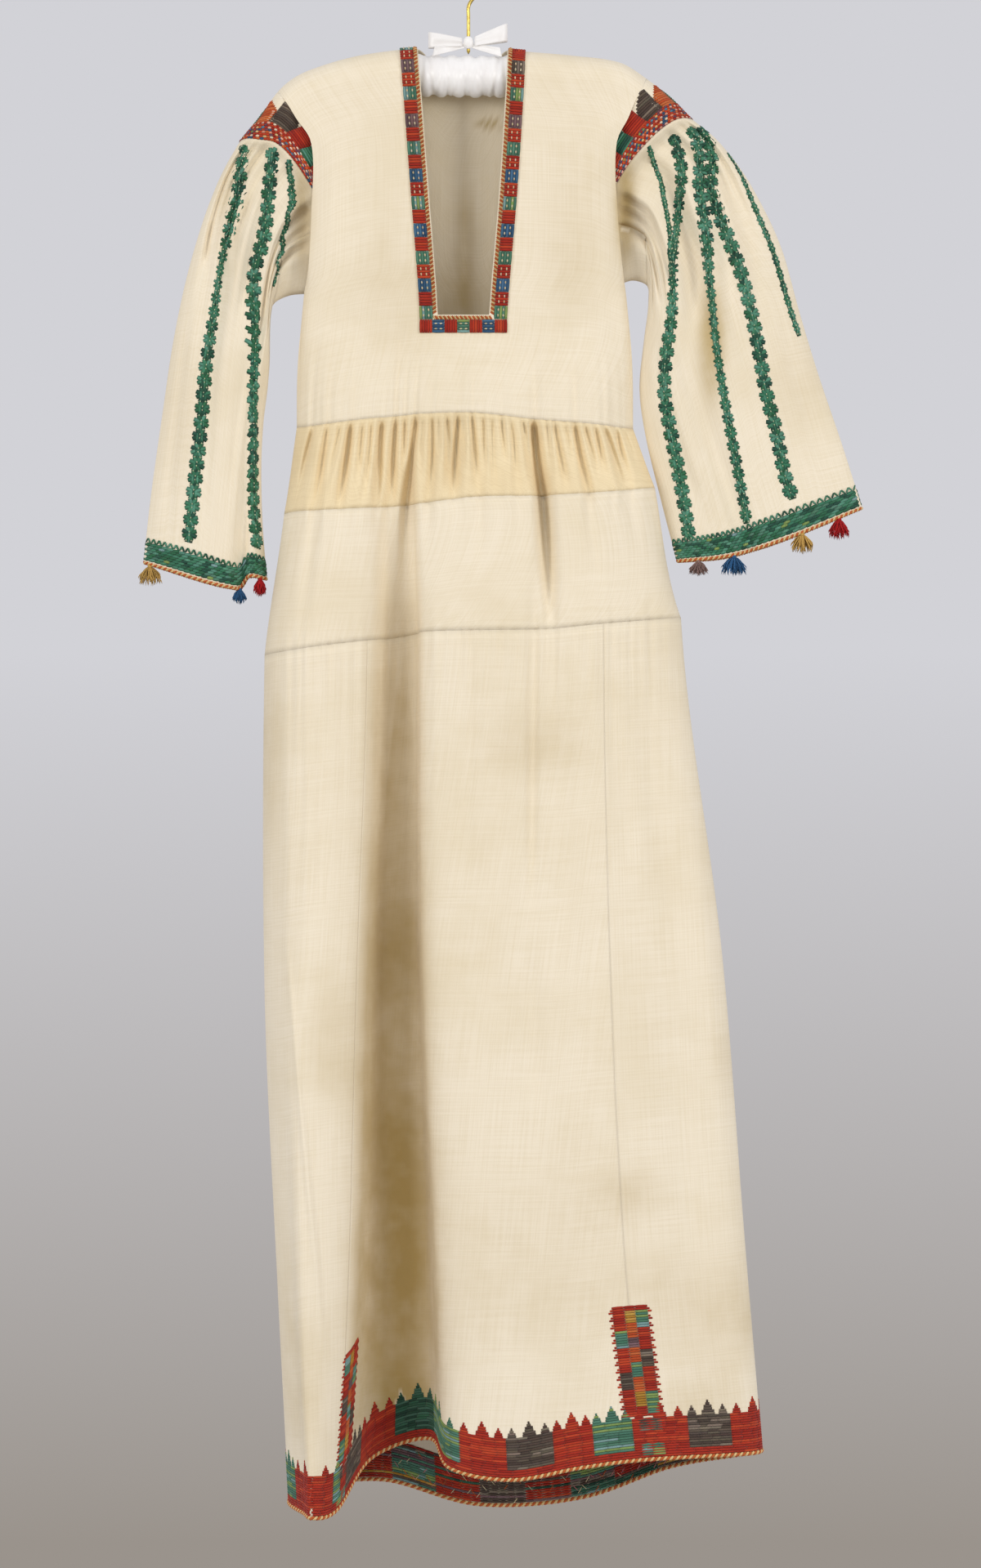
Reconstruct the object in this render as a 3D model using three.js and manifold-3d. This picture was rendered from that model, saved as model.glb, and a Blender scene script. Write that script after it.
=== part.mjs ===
// An embroidered folk dress of cream homespun, hung on a padded satin hanger.
// Millimetres, +Z up, -Y is the front of the dress, +X is the right of someone facing it.
// The origin is the underside of the hook's crown, where a rail carries the hanger.
// Tables give heights as "down", the distance below that origin.

import * as THREE from 'three';
import Module from 'manifold-3d';
import { mergeVertices } from 'three/addons/utils/BufferGeometryUtils.js';

const wasm = await Module();
wasm.setup();

// ---------------------------------------------------------------- driving dimensions

const CLOTH = 1.6; // wall of the homespun with its stitching
const SEAM_GAP = 0.3; // space between two pieces that are sewn together
const CHEST_RADIUS = 24; // how far the cloth stands from the hanger's mid plane
const NECK_BOTTOM = 328; // depth of the neck opening
const NECK_STRIP_WIDTH = 16.5;
const NECK_STRIP_WALL = 1;
const NECK_STRIP_EASE = 0.15; // the strip stands this much prouder, clear of the cloth's facets
const CHEST_FLAT = 420; // from here down the front lies as far forward as the waist seam
const BACK_NECK_DROP = 22; // the back neckline lies this far under the shoulder line
const BACK_NECK_ROUND = 26; // width over which the back neckline curves down
const SIDE_ROUND = 26; // width over which the bodice turns in to its side seams
const UNDERARM_ROUND = 45; // height over which the armhole closes at the underarm
const HEM_CORD_HEIGHT = 4;
const HEM_CORD_WALL = 2.6;

const HOOK_RADIUS = 16;
const WIRE = 3.2; // diameter of the hook's wire
const STEM_FOOT = 87.5; // where the wire goes into the pad
const BOW_KNOT = 5; // half width of the knot
const BOW_DOWN = 77;
const KNOT_DEPTH = 0.75; // of its half width
const KNOT_HEIGHT = 1.15;
const BOW_Y = -(WIRE / 2 + SEAM_GAP + KNOT_DEPTH * BOW_KNOT); // the knot lies against the wire
const BOW_START = 0.1; // how open the loops are at the knot
const BOW_LOOP_DEPTH = 5.5;
const BOW_PINCH = 0.45; // share of the ribbon's width where the knot holds it
const RIBBON = 0.8;
const TAIL_ROOT = 2.4; // how far beside the knot's middle a tail starts
const TAIL_WIDTH = 8;
const TAIL_FORWARD = 7;
const BOW_LOOPS = [
  { name: 'bow_loop_left', side: -1, length: 31, rise: 2, width: 15 },
  { name: 'bow_loop_right', side: 1, length: 30, rise: 9, width: 17 },
];
const BOW_TAILS = [
  { name: 'bow_tail_left', side: -1, length: 30, drop: 13 },
  { name: 'bow_tail_right', side: 1, length: 28, drop: 14 },
];
const STEM_ROUTE = [66, 52, 42]; // heights that the wire's stem passes above its foot
const HOOK_TURN = { from: -0.25, to: 1.12 }; // where the hook's bend starts and ends, in half turns
const PAD_RADIUS = 19.4;
const PAD_NECK_DIP = 3; // how much lower the pad lies in the neck opening
const NECK_MIDDLE = -5;
const NECK_DIP_FROM = 25; // half the width that lies lower
const NECK_DIP_WIDTH = 35; // width over which it rises again
const PAD_CLEARANCE = 0.9; // between the pad and the cloth that hangs on it
const PAD_ENDS = { left: -178, right: 172 };
const PAD_END_SAG = 8; // how much further the cloth stands off the pad's ends than its middle

// The shoulder line: the upper outline of the cloth over the hanger.
const SHOULDER_LINE = [
  { x: -225, down: 190 },
  { x: -210, down: 168 },
  { x: -192, down: 146 },
  { x: -175, down: 122 },
  { x: -160, down: 109 },
  { x: -142, down: 100.5 },
  { x: -107, down: 90 },
  { x: -70, down: 84 },
  { x: -46, down: 82.5 },
  { x: 36, down: 83.5 },
  { x: 54, down: 85 },
  { x: 95, down: 88.5 },
  { x: 139, down: 95 },
  { x: 163, down: 109.5 },
  { x: 186, down: 128 },
  { x: 204, down: 146 },
  { x: 225, down: 163 },
];

// The outer edges of the bodice and the inner edges of the neck opening, by height.
const BODICE_EDGES = [
  { down: 110, left: -175, right: 163 },
  { down: 122, left: -174, right: 158 },
  { down: 145, left: -157, right: 145 },
  { down: 171, left: -140, right: 132 },
  { down: 238, left: -140, right: 133 },
  { down: 289, left: -143, right: 138 },
  { down: 308, left: -147, right: 141 },
  { down: 352, left: -151, right: 145 },
  { down: 428, left: -157.5, right: 151 },
];
const NECK_EDGES = [
  { down: 82, left: -46.5, right: 36 },
  { down: 124, left: -43, right: 34 },
  { down: 217, left: -36, right: 28 },
  { down: 300, left: -29.5, right: 21 },
  { down: 328, left: -28, right: 19 },
];

// Level sections of the trunk. Level 0 is the waist seam, 1 the seam under the waist band,
// 2 the seam under the yoke and 3 the hem. Depths are distances from the mid plane.
const TRUNK = [
  { level: 0, left: -157.5, right: 151, crest: -122, pleat: 32, valleyLeft: -84, valleyRight: -48,
    floor: -33, panel: 36, seam: 112, back: 33 },
  { level: 1, left: -169, right: 171, crest: -130, pleat: 46, valleyLeft: -84, valleyRight: -46,
    floor: -27, panel: 47, seam: 118, back: 41 },
  { level: 2, left: -187, right: 195, crest: -140, pleat: 54, valleyLeft: -84, valleyRight: -42,
    floor: -6, panel: 54, seam: 123, back: 49 },
  { level: 2.4, left: -187, right: 232, crest: -150, pleat: 63, valleyLeft: -94, valleyRight: -44,
    floor: 8, panel: 58, seam: 129, back: 55 },
  { level: 2.75, left: -175, right: 253, crest: -148, pleat: 70, valleyLeft: -103, valleyRight: -36,
    floor: 15, panel: 60, seam: 142, back: 60 },
  { level: 3, left: -165, right: 269, crest: -141, pleat: 74, valleyLeft: -116, valleyRight: -30,
    floor: 20, panel: 58, seam: 160, back: 62 },
];

// The control points beside each side seam lie this share of the width in from it.
const INSET_SHARE = 0.035;

// Where each station lies in its section: its x is a share of the way from one of the section's
// columns to another, and its y adds shares of the pleat's, floor's, panel's and back's depths.
const PLACES = [
  { from: 'left', to: 'right', x: 0 },
  { from: 'left', to: 'right', x: INSET_SHARE, pleat: -0.68 },
  { from: 'crest', to: 'valleyLeft', x: 0, pleat: -1 },
  { from: 'crest', to: 'valleyLeft', x: 0.86, pleat: -0.75, floor: 0.25 },
  { from: 'valleyLeft', to: 'valleyRight', x: 0.28, floor: 1 },
  { from: 'valleyLeft', to: 'valleyRight', x: 0.72, floor: 1 },
  { from: 'valleyRight', to: 'seam', x: 0.024, floor: 0.2, panel: -0.8 },
  { from: 'valleyRight', to: 'seam', x: 0.33, panel: -1 },
  { from: 'valleyRight', to: 'seam', x: 0.68, panel: -1 },
  { from: 'seam', to: 'right', x: 0, panel: -0.93 },
  { from: 'right', to: 'left', x: INSET_SHARE, panel: -0.52 },
  { from: 'right', to: 'left', x: 0 },
  { from: 'right', to: 'left', x: INSET_SHARE, back: 0.6 },
  { from: 'right', to: 'left', x: 0.19, back: 0.95 },
  { from: 'right', to: 'left', x: 0.38, back: 1.03 },
  { from: 'right', to: 'left', x: 0.6, back: 1 },
  { from: 'right', to: 'left', x: 0.8, back: 0.95 },
  { from: 'right', to: 'left', x: 1 - INSET_SHARE, back: 0.6 },
];

// The stations of a section, from the left side round the front to the right side and back,
// with the height of each seam and of the hem there.
const STATIONS = [
  { name: 'left side', waist: 430, band: 509, yoke: 639, hem: 1414 },
  { name: 'pleat outside', waist: 430, band: 508, yoke: 637, hem: 1419 },
  { name: 'pleat crest', waist: 427, band: 507, yoke: 632, hem: 1421 },
  { name: 'left seam', waist: 423, band: 505, yoke: 626, hem: 1416 },
  { name: 'valley left', waist: 422, band: 504, yoke: 624, hem: 1376 },
  { name: 'valley right', waist: 420, band: 502, yoke: 620, hem: 1358 },
  { name: 'panel edge', waist: 419, band: 501, yoke: 618, hem: 1379 },
  { name: 'panel middle', waist: 418, band: 495, yoke: 617, hem: 1388 },
  { name: 'panel right', waist: 424, band: 494, yoke: 616, hem: 1377 },
  { name: 'right seam', waist: 428, band: 491, yoke: 611, hem: 1370 },
  { name: 'right front', waist: 431, band: 487, yoke: 606, hem: 1367 },
  { name: 'right side', waist: 431, band: 485, yoke: 605, hem: 1366 },
  { name: 'right back', waist: 430, band: 486, yoke: 606, hem: 1374 },
  { name: 'back seam right', waist: 427, band: 488, yoke: 610, hem: 1388 },
  { name: 'back right', waist: 424, band: 490, yoke: 614, hem: 1417 },
  { name: 'back left', waist: 424, band: 492, yoke: 617, hem: 1423 },
  { name: 'back seam left', waist: 427, band: 496, yoke: 622, hem: 1400 },
  { name: 'left back', waist: 430, band: 503, yoke: 632, hem: 1405 },
];
const LEFT_SEAM = 3;
const RIGHT_SEAM = 9;
const RIGHT_SIDE = 11;
const BACK_SEAM_RIGHT = 13;
const BACK_SEAM_LEFT = 16;
const ROUND = STATIONS.length;
const NECK_STATION_LEFT = 6.3;
const NECK_STATION_RIGHT = 7.25;

// Gathers of the trunk: troughs that start at the waist seam and end at a level below it. They
// spread with the cloth, are shallow at the seam, deepen below it and hold before they run out.
const GATHER_SPREAD = 0.12;
const GATHER_AT_SEAM = 0.35;
const GATHER_RISE = 0.3;
const GATHER_HOLD = 0.45;
const CALM_SIDES = 2.5; // how soon the gathers fade out towards the side seams
const FRONT_GATHERS = [
  { x: -141, depth: 3, width: 5, end: 1.3 },
  { x: -124, depth: 4.5, width: 6, end: 2.2 },
  { x: -106, depth: 4, width: 6, end: 1.6 },
  { x: -66, depth: 4, width: 6, end: 1.2 },
  { x: -32, depth: 4, width: 6.5, end: 1.7 },
  { x: -11, depth: 7, width: 6.5, end: 1.3 },
  { x: 9, depth: 4.5, width: 6, end: 1.8 },
  { x: 26, depth: 3.5, width: 5.5, end: 1.2 },
  { x: 42, depth: 4, width: 6, end: 1.6 },
  { x: 61, depth: 13, width: 8, end: 2.3 },
  { x: 81, depth: 3.5, width: 6, end: 1.2 },
  { x: 98, depth: 5.5, width: 6, end: 1.9 },
  { x: 114, depth: 4, width: 5.5, end: 1.3 },
  { x: 131, depth: 4, width: 5.5, end: 1.6 },
];
const BACK_GATHERS = [
  { x: -136, depth: 4, width: 6, end: 1.6 },
  { x: -112, depth: 5, width: 7, end: 2 },
  { x: -87, depth: 4, width: 6.5, end: 1.4 },
  { x: -62, depth: 9, width: 8, end: 2.5 },
  { x: -36, depth: 4, width: 6.5, end: 1.5 },
  { x: -12, depth: 5, width: 7, end: 1.8 },
  { x: 13, depth: 4, width: 6.5, end: 1.3 },
  { x: 40, depth: 16, width: 11, end: 2.8 },
  { x: 68, depth: 4, width: 6.5, end: 1.5 },
  { x: 92, depth: 5.5, width: 7, end: 2.1 },
  { x: 115, depth: 4, width: 6, end: 1.4 },
  { x: 134, depth: 3.5, width: 5.5, end: 1.7 },
];

// Each sleeve, by its share of length from the armhole (0) to the cuff (1): the outer fold, the
// inner fold and how far it stands to the front and back. The armhole and cuff lines run from the
// outer fold (0) to the inner fold (1).
const SLEEVES = {
  left: {
    side: 'left',
    folds: [
      { share: 0, outerX: -210.3, outerDown: 168.4, innerX: -147, innerDown: 307, depth: 21 },
      { share: 0.06, outerX: -222, outerDown: 189, innerX: -165, innerDown: 309, depth: 26 },
      { share: 0.11, outerX: -231, outerDown: 208, innerX: -179, innerDown: 317, depth: 28 },
      { share: 0.2, outerX: -244, outerDown: 242, innerX: -184.5, innerDown: 340, depth: 28 },
      { share: 0.35, outerX: -259, outerDown: 294, innerX: -183.5, innerDown: 385, depth: 25 },
      { share: 0.5, outerX: -271, outerDown: 352, innerX: -188, innerDown: 425, depth: 23 },
      { share: 0.65, outerX: -280, outerDown: 412, innerX: -190, innerDown: 465, depth: 22 },
      { share: 0.82, outerX: -291, outerDown: 490, innerX: -189, innerDown: 515, depth: 21 },
      { share: 1, outerX: -298, outerDown: 553, innerX: -185, innerDown: 568, depth: 20 },
    ],
    cuff: [
      { turn: 0, x: -298, down: 553 },
      { turn: 0.7, x: -212, down: 577 },
      { turn: 0.8, x: -202, down: 566 },
      { turn: 1, x: -185, down: 568 },
    ],
    gathers: [
      { turn: 0.22, depth: 4, width: 0.05, end: 0.5 },
      { turn: 0.36, depth: 6, width: 0.05, end: 0.8 },
      { turn: 0.5, depth: 4, width: 0.045, end: 0.45 },
      { turn: 0.63, depth: 5, width: 0.05, end: 0.7 },
      { turn: 1.3, depth: 4, width: 0.05, end: 0.6 },
      { turn: 1.45, depth: 6, width: 0.05, end: 0.85 },
      { turn: 1.6, depth: 4, width: 0.05, end: 0.5 },
      { turn: 1.76, depth: 5, width: 0.05, end: 0.7 },
    ],
    creases: [
      { turn: 0.74, depth: 11, width: 0.07, start: 0.5 },
      { turn: 1.36, depth: 8, width: 0.06, start: 0.4 },
    ],
  },
  right: {
    side: 'right',
    folds: [
      { share: 0, outerX: 205.8, outerDown: 147.6, innerX: 139.6, innerDown: 298, depth: 21 },
      { share: 0.06, outerX: 226, outerDown: 164, innerX: 152, innerDown: 295, depth: 27 },
      { share: 0.11, outerX: 240, outerDown: 180, innerX: 164, innerDown: 300, depth: 31 },
      { share: 0.2, outerX: 259, outerDown: 207, innerX: 165, innerDown: 318, depth: 33 },
      { share: 0.35, outerX: 286, outerDown: 262, innerX: 161, innerDown: 350, depth: 31 },
      { share: 0.5, outerX: 304, outerDown: 325, innerX: 157, innerDown: 395, depth: 28 },
      { share: 0.65, outerX: 321, outerDown: 381, innerX: 163, innerDown: 440, depth: 25 },
      { share: 0.82, outerX: 343, outerDown: 446, innerX: 177, innerDown: 498, depth: 22 },
      { share: 1, outerX: 361, outerDown: 503, innerX: 191, innerDown: 552, depth: 20 },
    ],
    cuff: [
      { turn: 0, x: 361, down: 503 },
      { turn: 0.33, x: 292, down: 531 },
      { turn: 0.66, x: 240, down: 547 },
      { turn: 1, x: 191, down: 552 },
    ],
    gathers: [
      { turn: 0.2, depth: 5, width: 0.05, end: 0.7 },
      { turn: 0.34, depth: 6, width: 0.05, end: 0.5 },
      { turn: 0.48, depth: 9, width: 0.055, end: 0.6 },
      { turn: 0.62, depth: 6, width: 0.05, end: 0.55 },
      { turn: 0.75, depth: 5, width: 0.045, end: 0.4 },
      { turn: 1.28, depth: 5, width: 0.05, end: 0.6 },
      { turn: 1.43, depth: 8, width: 0.05, end: 0.8 },
      { turn: 1.58, depth: 5, width: 0.05, end: 0.5 },
      { turn: 1.74, depth: 5, width: 0.05, end: 0.65 },
    ],
    creases: [
      { turn: 0.55, depth: 7, width: 0.06, start: 0.5 },
      { turn: 1.5, depth: 8, width: 0.06, start: 0.45 },
    ],
  },
};

// The shoulder piece and the band under it. The piece starts at the bodice's edge. Each of its
// other lines runs from the shoulder line down the front, and the same way down the back, and
// ends at the bodice's edge.
const SHOULDERS = {
  left: {
    topDown: 122,
    middle: { topX: -197.5, tipX: -140.8, tipDrop: 101 },
    outer: { topX: -210.3, tipX: -141.4, tipDrop: 113 },
  },
  right: {
    topDown: 109.5,
    middle: { topX: 192, tipX: 133.4, tipDrop: 102 },
    outer: { topX: 205.8, tipX: 134.4, tipDrop: 115 },
  },
};

// Tassels on the cuffs: where each hangs on the cuff line, its length and half width.
const TASSELS = [
  { name: 'left_yellow', side: 'left', turn: 0.05, length: 19, spread: 11, colour: 0xc9a257 },
  { name: 'left_blue', side: 'left', turn: 0.72, length: 14, spread: 6.5, colour: 0x2e5f8c },
  { name: 'left_red', side: 'left', turn: 0.93, length: 17, spread: 6, colour: 0xb3161a },
  { name: 'right_mauve', side: 'right', turn: 0.86, length: 14, spread: 9, colour: 0x8a6f68 },
  { name: 'right_blue', side: 'right', turn: 0.64, length: 19, spread: 12, colour: 0x2e5f8c },
  { name: 'right_yellow', side: 'right', turn: 0.26, length: 19, spread: 11, colour: 0xc9a257 },
  { name: 'right_red', side: 'right', turn: 0.1, length: 20, spread: 10, colour: 0xb3161a },
];
const STRANDS = 11;
const STRAND_RADIUS = 0.9;
const STRAND_TAPER = 0.6; // of its radius at the tip
const STRAND_UNEVEN = 0.14; // how much the lengths differ
const TASSEL_HEAD_RADIUS = 2.4;
const TASSEL_ROOTS = 1.3; // half width of the roots in the head
const TASSEL_DEPTH = 0.28; // front to back against its width

// ---------------------------------------------------------------- small helpers

const mix = (a, b, t) => a + (b - a) * t;
const clamp01 = (t) => Math.min(1, Math.max(0, t));
const ease = (t) => clamp01(t) ** 2 * (3 - 2 * clamp01(t));

// A smooth curve through one column of a table, level beyond its ends.
function through(rows, key, column) {
  const at = rows.map((row) => row[key]);
  const value = rows.map((row) => row[column]);
  const last = at.length - 1;
  const slope = at.map((_, k) => {
    const before = Math.max(k - 1, 0);
    const after = Math.min(k + 1, last);
    return (value[after] - value[before]) / (at[after] - at[before]);
  });
  return (x) => {
    if (x <= at[0]) return value[0];
    if (x >= at[last]) return value[last];
    const k = at.findIndex((a) => a > x) - 1;
    const span = at[k + 1] - at[k];
    const t = (x - at[k]) / span;
    const blend = ease(t);
    const bend = span * t * (1 - t) * (slope[k] * (1 - t) - slope[k + 1] * t);
    return mix(value[k], value[k + 1], blend) + bend;
  };
}

// Evenly spaced numbers from a to b, both included.
function steps(a, b, count) {
  return Array.from({ length: count + 1 }, (_, k) => mix(a, b, k / count));
}

function place(x, y, down) {
  return new THREE.Vector3(x, y, -down);
}

// ---------------------------------------------------------------- walls of cloth

// A wall of even thickness under the surface point(u, v), over the grid of us and vs. Seen from
// outside, u runs to the right and v runs down. Open edges are drawn in by half a seam's gap.
// A lift moves the whole wall out, and cut(i, j) leaves a cell of the grid out.
function clothWall(point, us, vs, { round = false, wall = CLOTH, lift = 0, cut = () => false } = {}) {
  const columns = us.length;
  const rows = vs.length;
  const cellColumns = round ? columns : columns - 1;
  const kept = (i, j) => {
    if (j < 0 || j >= rows - 1) return false;
    if (round) return !cut((i + columns) % columns, j);
    return i >= 0 && i < cellColumns && !cut(i, j);
  };
  const positions = [];
  const small = 1e-3;
  for (let i = 0; i < columns; i += 1) {
    for (let j = 0; j < rows; j += 1) {
      const here = point(us[i], vs[j]);
      const before = !round && i === 0 ? 0 : small;
      const after = !round && i === columns - 1 ? 0 : small;
      const across = point(us[i] + after, vs[j]).sub(point(us[i] - before, vs[j])).normalize();
      const along = point(us[i], vs[j] + small).sub(point(us[i], vs[j] - small)).normalize();
      const out = new THREE.Vector3().crossVectors(along, across).normalize();
      const cells = [kept(i - 1, j - 1), kept(i, j - 1), kept(i - 1, j), kept(i, j)];
      const [upLeft, upRight, downLeft, downRight] = cells;
      const right = (upRight || downRight) - (upLeft || downLeft);
      const down = (downLeft || downRight) - (upLeft || upRight);
      here.addScaledVector(across, (right * SEAM_GAP) / 2);
      here.addScaledVector(along, (down * SEAM_GAP) / 2);
      const outer = here.clone().addScaledVector(out, lift);
      const inner = here.clone().addScaledVector(out, lift - wall);
      positions.push(outer.x, outer.y, outer.z, inner.x, inner.y, inner.z);
    }
  }
  const outerIndex = (i, j) => 2 * ((i % columns) * rows + j);
  const innerIndex = (i, j) => outerIndex(i, j) + 1;
  const faces = [];
  const quad = (a, b, c, d) => faces.push(a, b, c, a, c, d);
  for (let i = 0; i < cellColumns; i += 1) {
    for (let j = 0; j < rows - 1; j += 1) {
      if (!kept(i, j)) continue;
      const corners = [[i, j], [i, j + 1], [i + 1, j + 1], [i + 1, j]];
      quad(...corners.map(([a, b]) => outerIndex(a, b)));
      quad(...corners.map(([a, b]) => innerIndex(a, b)).reverse());
      const beyond = [kept(i - 1, j), kept(i, j + 1), kept(i + 1, j), kept(i, j - 1)];
      beyond.forEach((joined, side) => {
        if (joined) return;
        const [a, b] = [corners[side], corners[(side + 1) % 4]];
        const loop = [outerIndex(...b), outerIndex(...a), innerIndex(...a), innerIndex(...b)];
        const turned = side < 2 ? loop : [...loop.slice(1), loop[0]];
        quad(...turned);
      });
    }
  }
  const geometry = new THREE.BufferGeometry();
  geometry.setAttribute('position', new THREE.Float32BufferAttribute(positions, 3));
  geometry.setIndex(faces);
  return geometry;
}

// ---------------------------------------------------------------- the upper garment

// The rows of the bodice. They close up towards the shoulder line (0) and the bottom of the neck
// opening (1), and the waist seam is row 2. The shoulder piece's tip lies on one of them.
const SHOULDER_TIP_ROW = 0.6;
const NECK_STRIP_ROW = 1.18;
const UPPER_ROWS = [0, 0.1, 0.2, 0.3, 0.44, SHOULDER_TIP_ROW, 0.76, 0.88, 0.95, 1];
const BODICE_ROWS = [...UPPER_ROWS, NECK_STRIP_ROW, 1.55, 2];

const shoulderLine = through(SHOULDER_LINE, 'x', 'down');
const edgeLeft = through(BODICE_EDGES, 'down', 'left');
const edgeRight = through(BODICE_EDGES, 'down', 'right');
const neckLeft = through(NECK_EDGES, 'down', 'left');
const neckRight = through(NECK_EDGES, 'down', 'right');

// How far the cloth stands from the mid plane at a drop below the shoulder line: a quarter
// round over the hanger, then straight down.
function overHanger(drop) {
  const share = clamp01(drop / CHEST_RADIUS);
  return CHEST_RADIUS * Math.sqrt(1 - (1 - share) ** 2);
}

// The armhole closes at the underarm: 1 above it, 0 at it.
function armholeOpen(down, underarm) {
  const share = clamp01((down - underarm + UNDERARM_ROUND) / UNDERARM_ROUND);
  return Math.sqrt(1 - share ** 2);
}

const UNDERARM = { left: 307, right: 298 };
const ARMHOLE_TIP = 0.55; // where the band's tip lies on the armhole
const ARMHOLE_TURN_IN = 3; // how soon the armhole meets the bodice's edge below that tip
const SHOULDER_BEND = 1.6; // how long the shoulder's lines keep out before they bend in
const SLEEVE_ROUND = 0.62; // how full the sleeve's section is between its two folds
const SLEEVE_HEAD = 0.22; // share of the length over which the sleeve leaves the armhole's form
const SLEEVE_GATHERED = 0.06; // share of the length over which its gathers deepen
const SLEEVE_HOLD = 0.4; // share of a gather's length that keeps its depth
const CALM_FOLDS = 1.6; // how soon the gathers fade out towards the sleeve's folds
const BAND_REACHES = [0.083, 1 / 6, 0.25, 1 / 3, 0.417, 0.5, 0.617, 0.733, 0.867, 1];
const LOWER_TURNS = [0.63, 0.72, 0.79, 0.86, 0.93];
const GUSSET_HALF_TURN = 0.28; // how far the gusset reaches to the front and to the back
const GUSSET_SHARE = 0.11; // share of the sleeve's length that the gusset takes
const CUFF_SHARE = 0.055; // share of the sleeve's length that the cuff band takes
const SLEEVE_SHARES = [0, 0.04, 0.08, GUSSET_SHARE, 0.2, 0.32, 0.45, 0.58, 0.7, 0.83, 1 - CUFF_SHARE];

// The roundness of the bodice near its edge: full in the middle, and at the edge as open as the
// armhole is at that height.
function sideRound(x, down) {
  const fromLeft = x - edgeLeft(down);
  const fromRight = edgeRight(down) - x;
  const nearLeft = fromLeft < fromRight;
  const open = armholeOpen(down, nearLeft ? UNDERARM.left : UNDERARM.right);
  const inward = clamp01(Math.min(fromLeft, fromRight) / SIDE_ROUND);
  return mix(open, 1, Math.sqrt(1 - (1 - inward) ** 2));
}

// ---------------------------------------------------------------- the trunk below the waist

const trunkColumns = Object.keys(TRUNK[0]).filter((name) => name !== 'level');
const trunkAt = Object.fromEntries(
  trunkColumns.map((name) => [name, through(TRUNK, 'level', name)]),
);

// The control points of one level section, one for each station.
function sectionPoints(level) {
  const row = Object.fromEntries(trunkColumns.map((name) => [name, trunkAt[name](level)]));
  return PLACES.map(({ from, to, x, ...depths }) => {
    const y = Object.entries(depths).reduce((sum, [name, share]) => sum + share * row[name], 0);
    return [mix(row[from], row[to], x), y];
  });
}

// The weights of four neighbouring stations at a share t between the middle two.
function stationWeights(t) {
  return [
    (-t + 2 * t ** 2 - t ** 3) / 2,
    (2 - 5 * t ** 2 + 3 * t ** 3) / 2,
    (t + 4 * t ** 2 - 3 * t ** 3) / 2,
    (-(t ** 2) + t ** 3) / 2,
  ];
}

function aroundStations(station, valueAt) {
  const first = Math.floor(station);
  return stationWeights(station - first).reduce(
    (sum, weight, k) => sum + weight * valueAt((first - 1 + k + 2 * ROUND) % ROUND),
    0,
  );
}

// The depth of the gathers at a place: each is a round trough that deepens below the waist seam
// and runs out towards its end level.
function gatherDepth(x, level, gathers) {
  return gathers.reduce((sum, { x: middle, depth, width, end }) => {
    const spread = middle * (1 + GATHER_SPREAD * level);
    const rise = mix(GATHER_AT_SEAM, 1, ease(level / GATHER_RISE));
    const fade = 1 - ease((level / end - GATHER_HOLD) / (1 - GATHER_HOLD));
    return sum + depth * rise * fade * Math.exp(-(((x - spread) / width) ** 2));
  }, 0);
}

function trunkPoint(station, level) {
  const points = sectionPoints(level);
  const x = aroundStations(station, (k) => points[k][0]);
  const y = aroundStations(station, (k) => points[k][1]);
  const seams = (name) => aroundStations(station, (k) => STATIONS[k][name]);
  const part = Math.min(Math.floor(Math.max(level, 0)), 2);
  const [upper, lower] = [['waist', 'band'], ['band', 'yoke'], ['yoke', 'hem']][part];
  const down = mix(seams(upper), seams(lower), level - part);
  const round = ((station % ROUND) + ROUND) % ROUND;
  const front = round < RIGHT_SIDE;
  const along = front ? round / RIGHT_SIDE : (round - RIGHT_SIDE) / (ROUND - RIGHT_SIDE);
  const awayFromSides = ease(Math.sin(Math.PI * along) * CALM_SIDES);
  const trough = gatherDepth(x, Math.max(level, 0), front ? FRONT_GATHERS : BACK_GATHERS);
  return place(x, y + (front ? 1 : -1) * trough * awayFromSides, down);
}

// ---------------------------------------------------------------- the bodice

// The front of the bodice: rows 0 to 1 run from the shoulder line to the bottom of the neck
// opening, rows 1 to 2 from there to the waist seam, where it meets the trunk.
function bodiceFrontPoint(station, row) {
  const waist = trunkPoint(station, 0);
  const leftWaist = trunkPoint(0, 0).x;
  const rightWaist = trunkPoint(RIGHT_SIDE, 0).x;
  const neckLeftWaist = trunkPoint(NECK_STATION_LEFT, 0).x;
  const neckRightWaist = trunkPoint(NECK_STATION_RIGHT, 0).x;
  const xAt = (down) => {
    if (station <= NECK_STATION_LEFT) {
      const share = (waist.x - leftWaist) / (neckLeftWaist - leftWaist);
      return mix(edgeLeft(down), neckLeft(down), share);
    }
    if (station >= NECK_STATION_RIGHT) {
      const share = (waist.x - neckRightWaist) / (rightWaist - neckRightWaist);
      return mix(neckRight(down), edgeRight(down), share);
    }
    const share = (waist.x - neckLeftWaist) / (neckRightWaist - neckLeftWaist);
    return mix(neckLeft(down), neckRight(down), share);
  };
  const upper = Math.min(row, 1);
  const top = shoulderLine(xAt(0));
  const downUpper = mix(top, NECK_BOTTOM, Math.abs(upper) * upper);
  const lower = row - upper;
  const down = mix(downUpper, -waist.z, lower);
  const x = mix(xAt(down), waist.x, ease(lower));
  const chest = -overHanger(down - shoulderLine(x)) * sideRound(x, down);
  return place(x, mix(chest, waist.y, ease(lower)), down);
}

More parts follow.
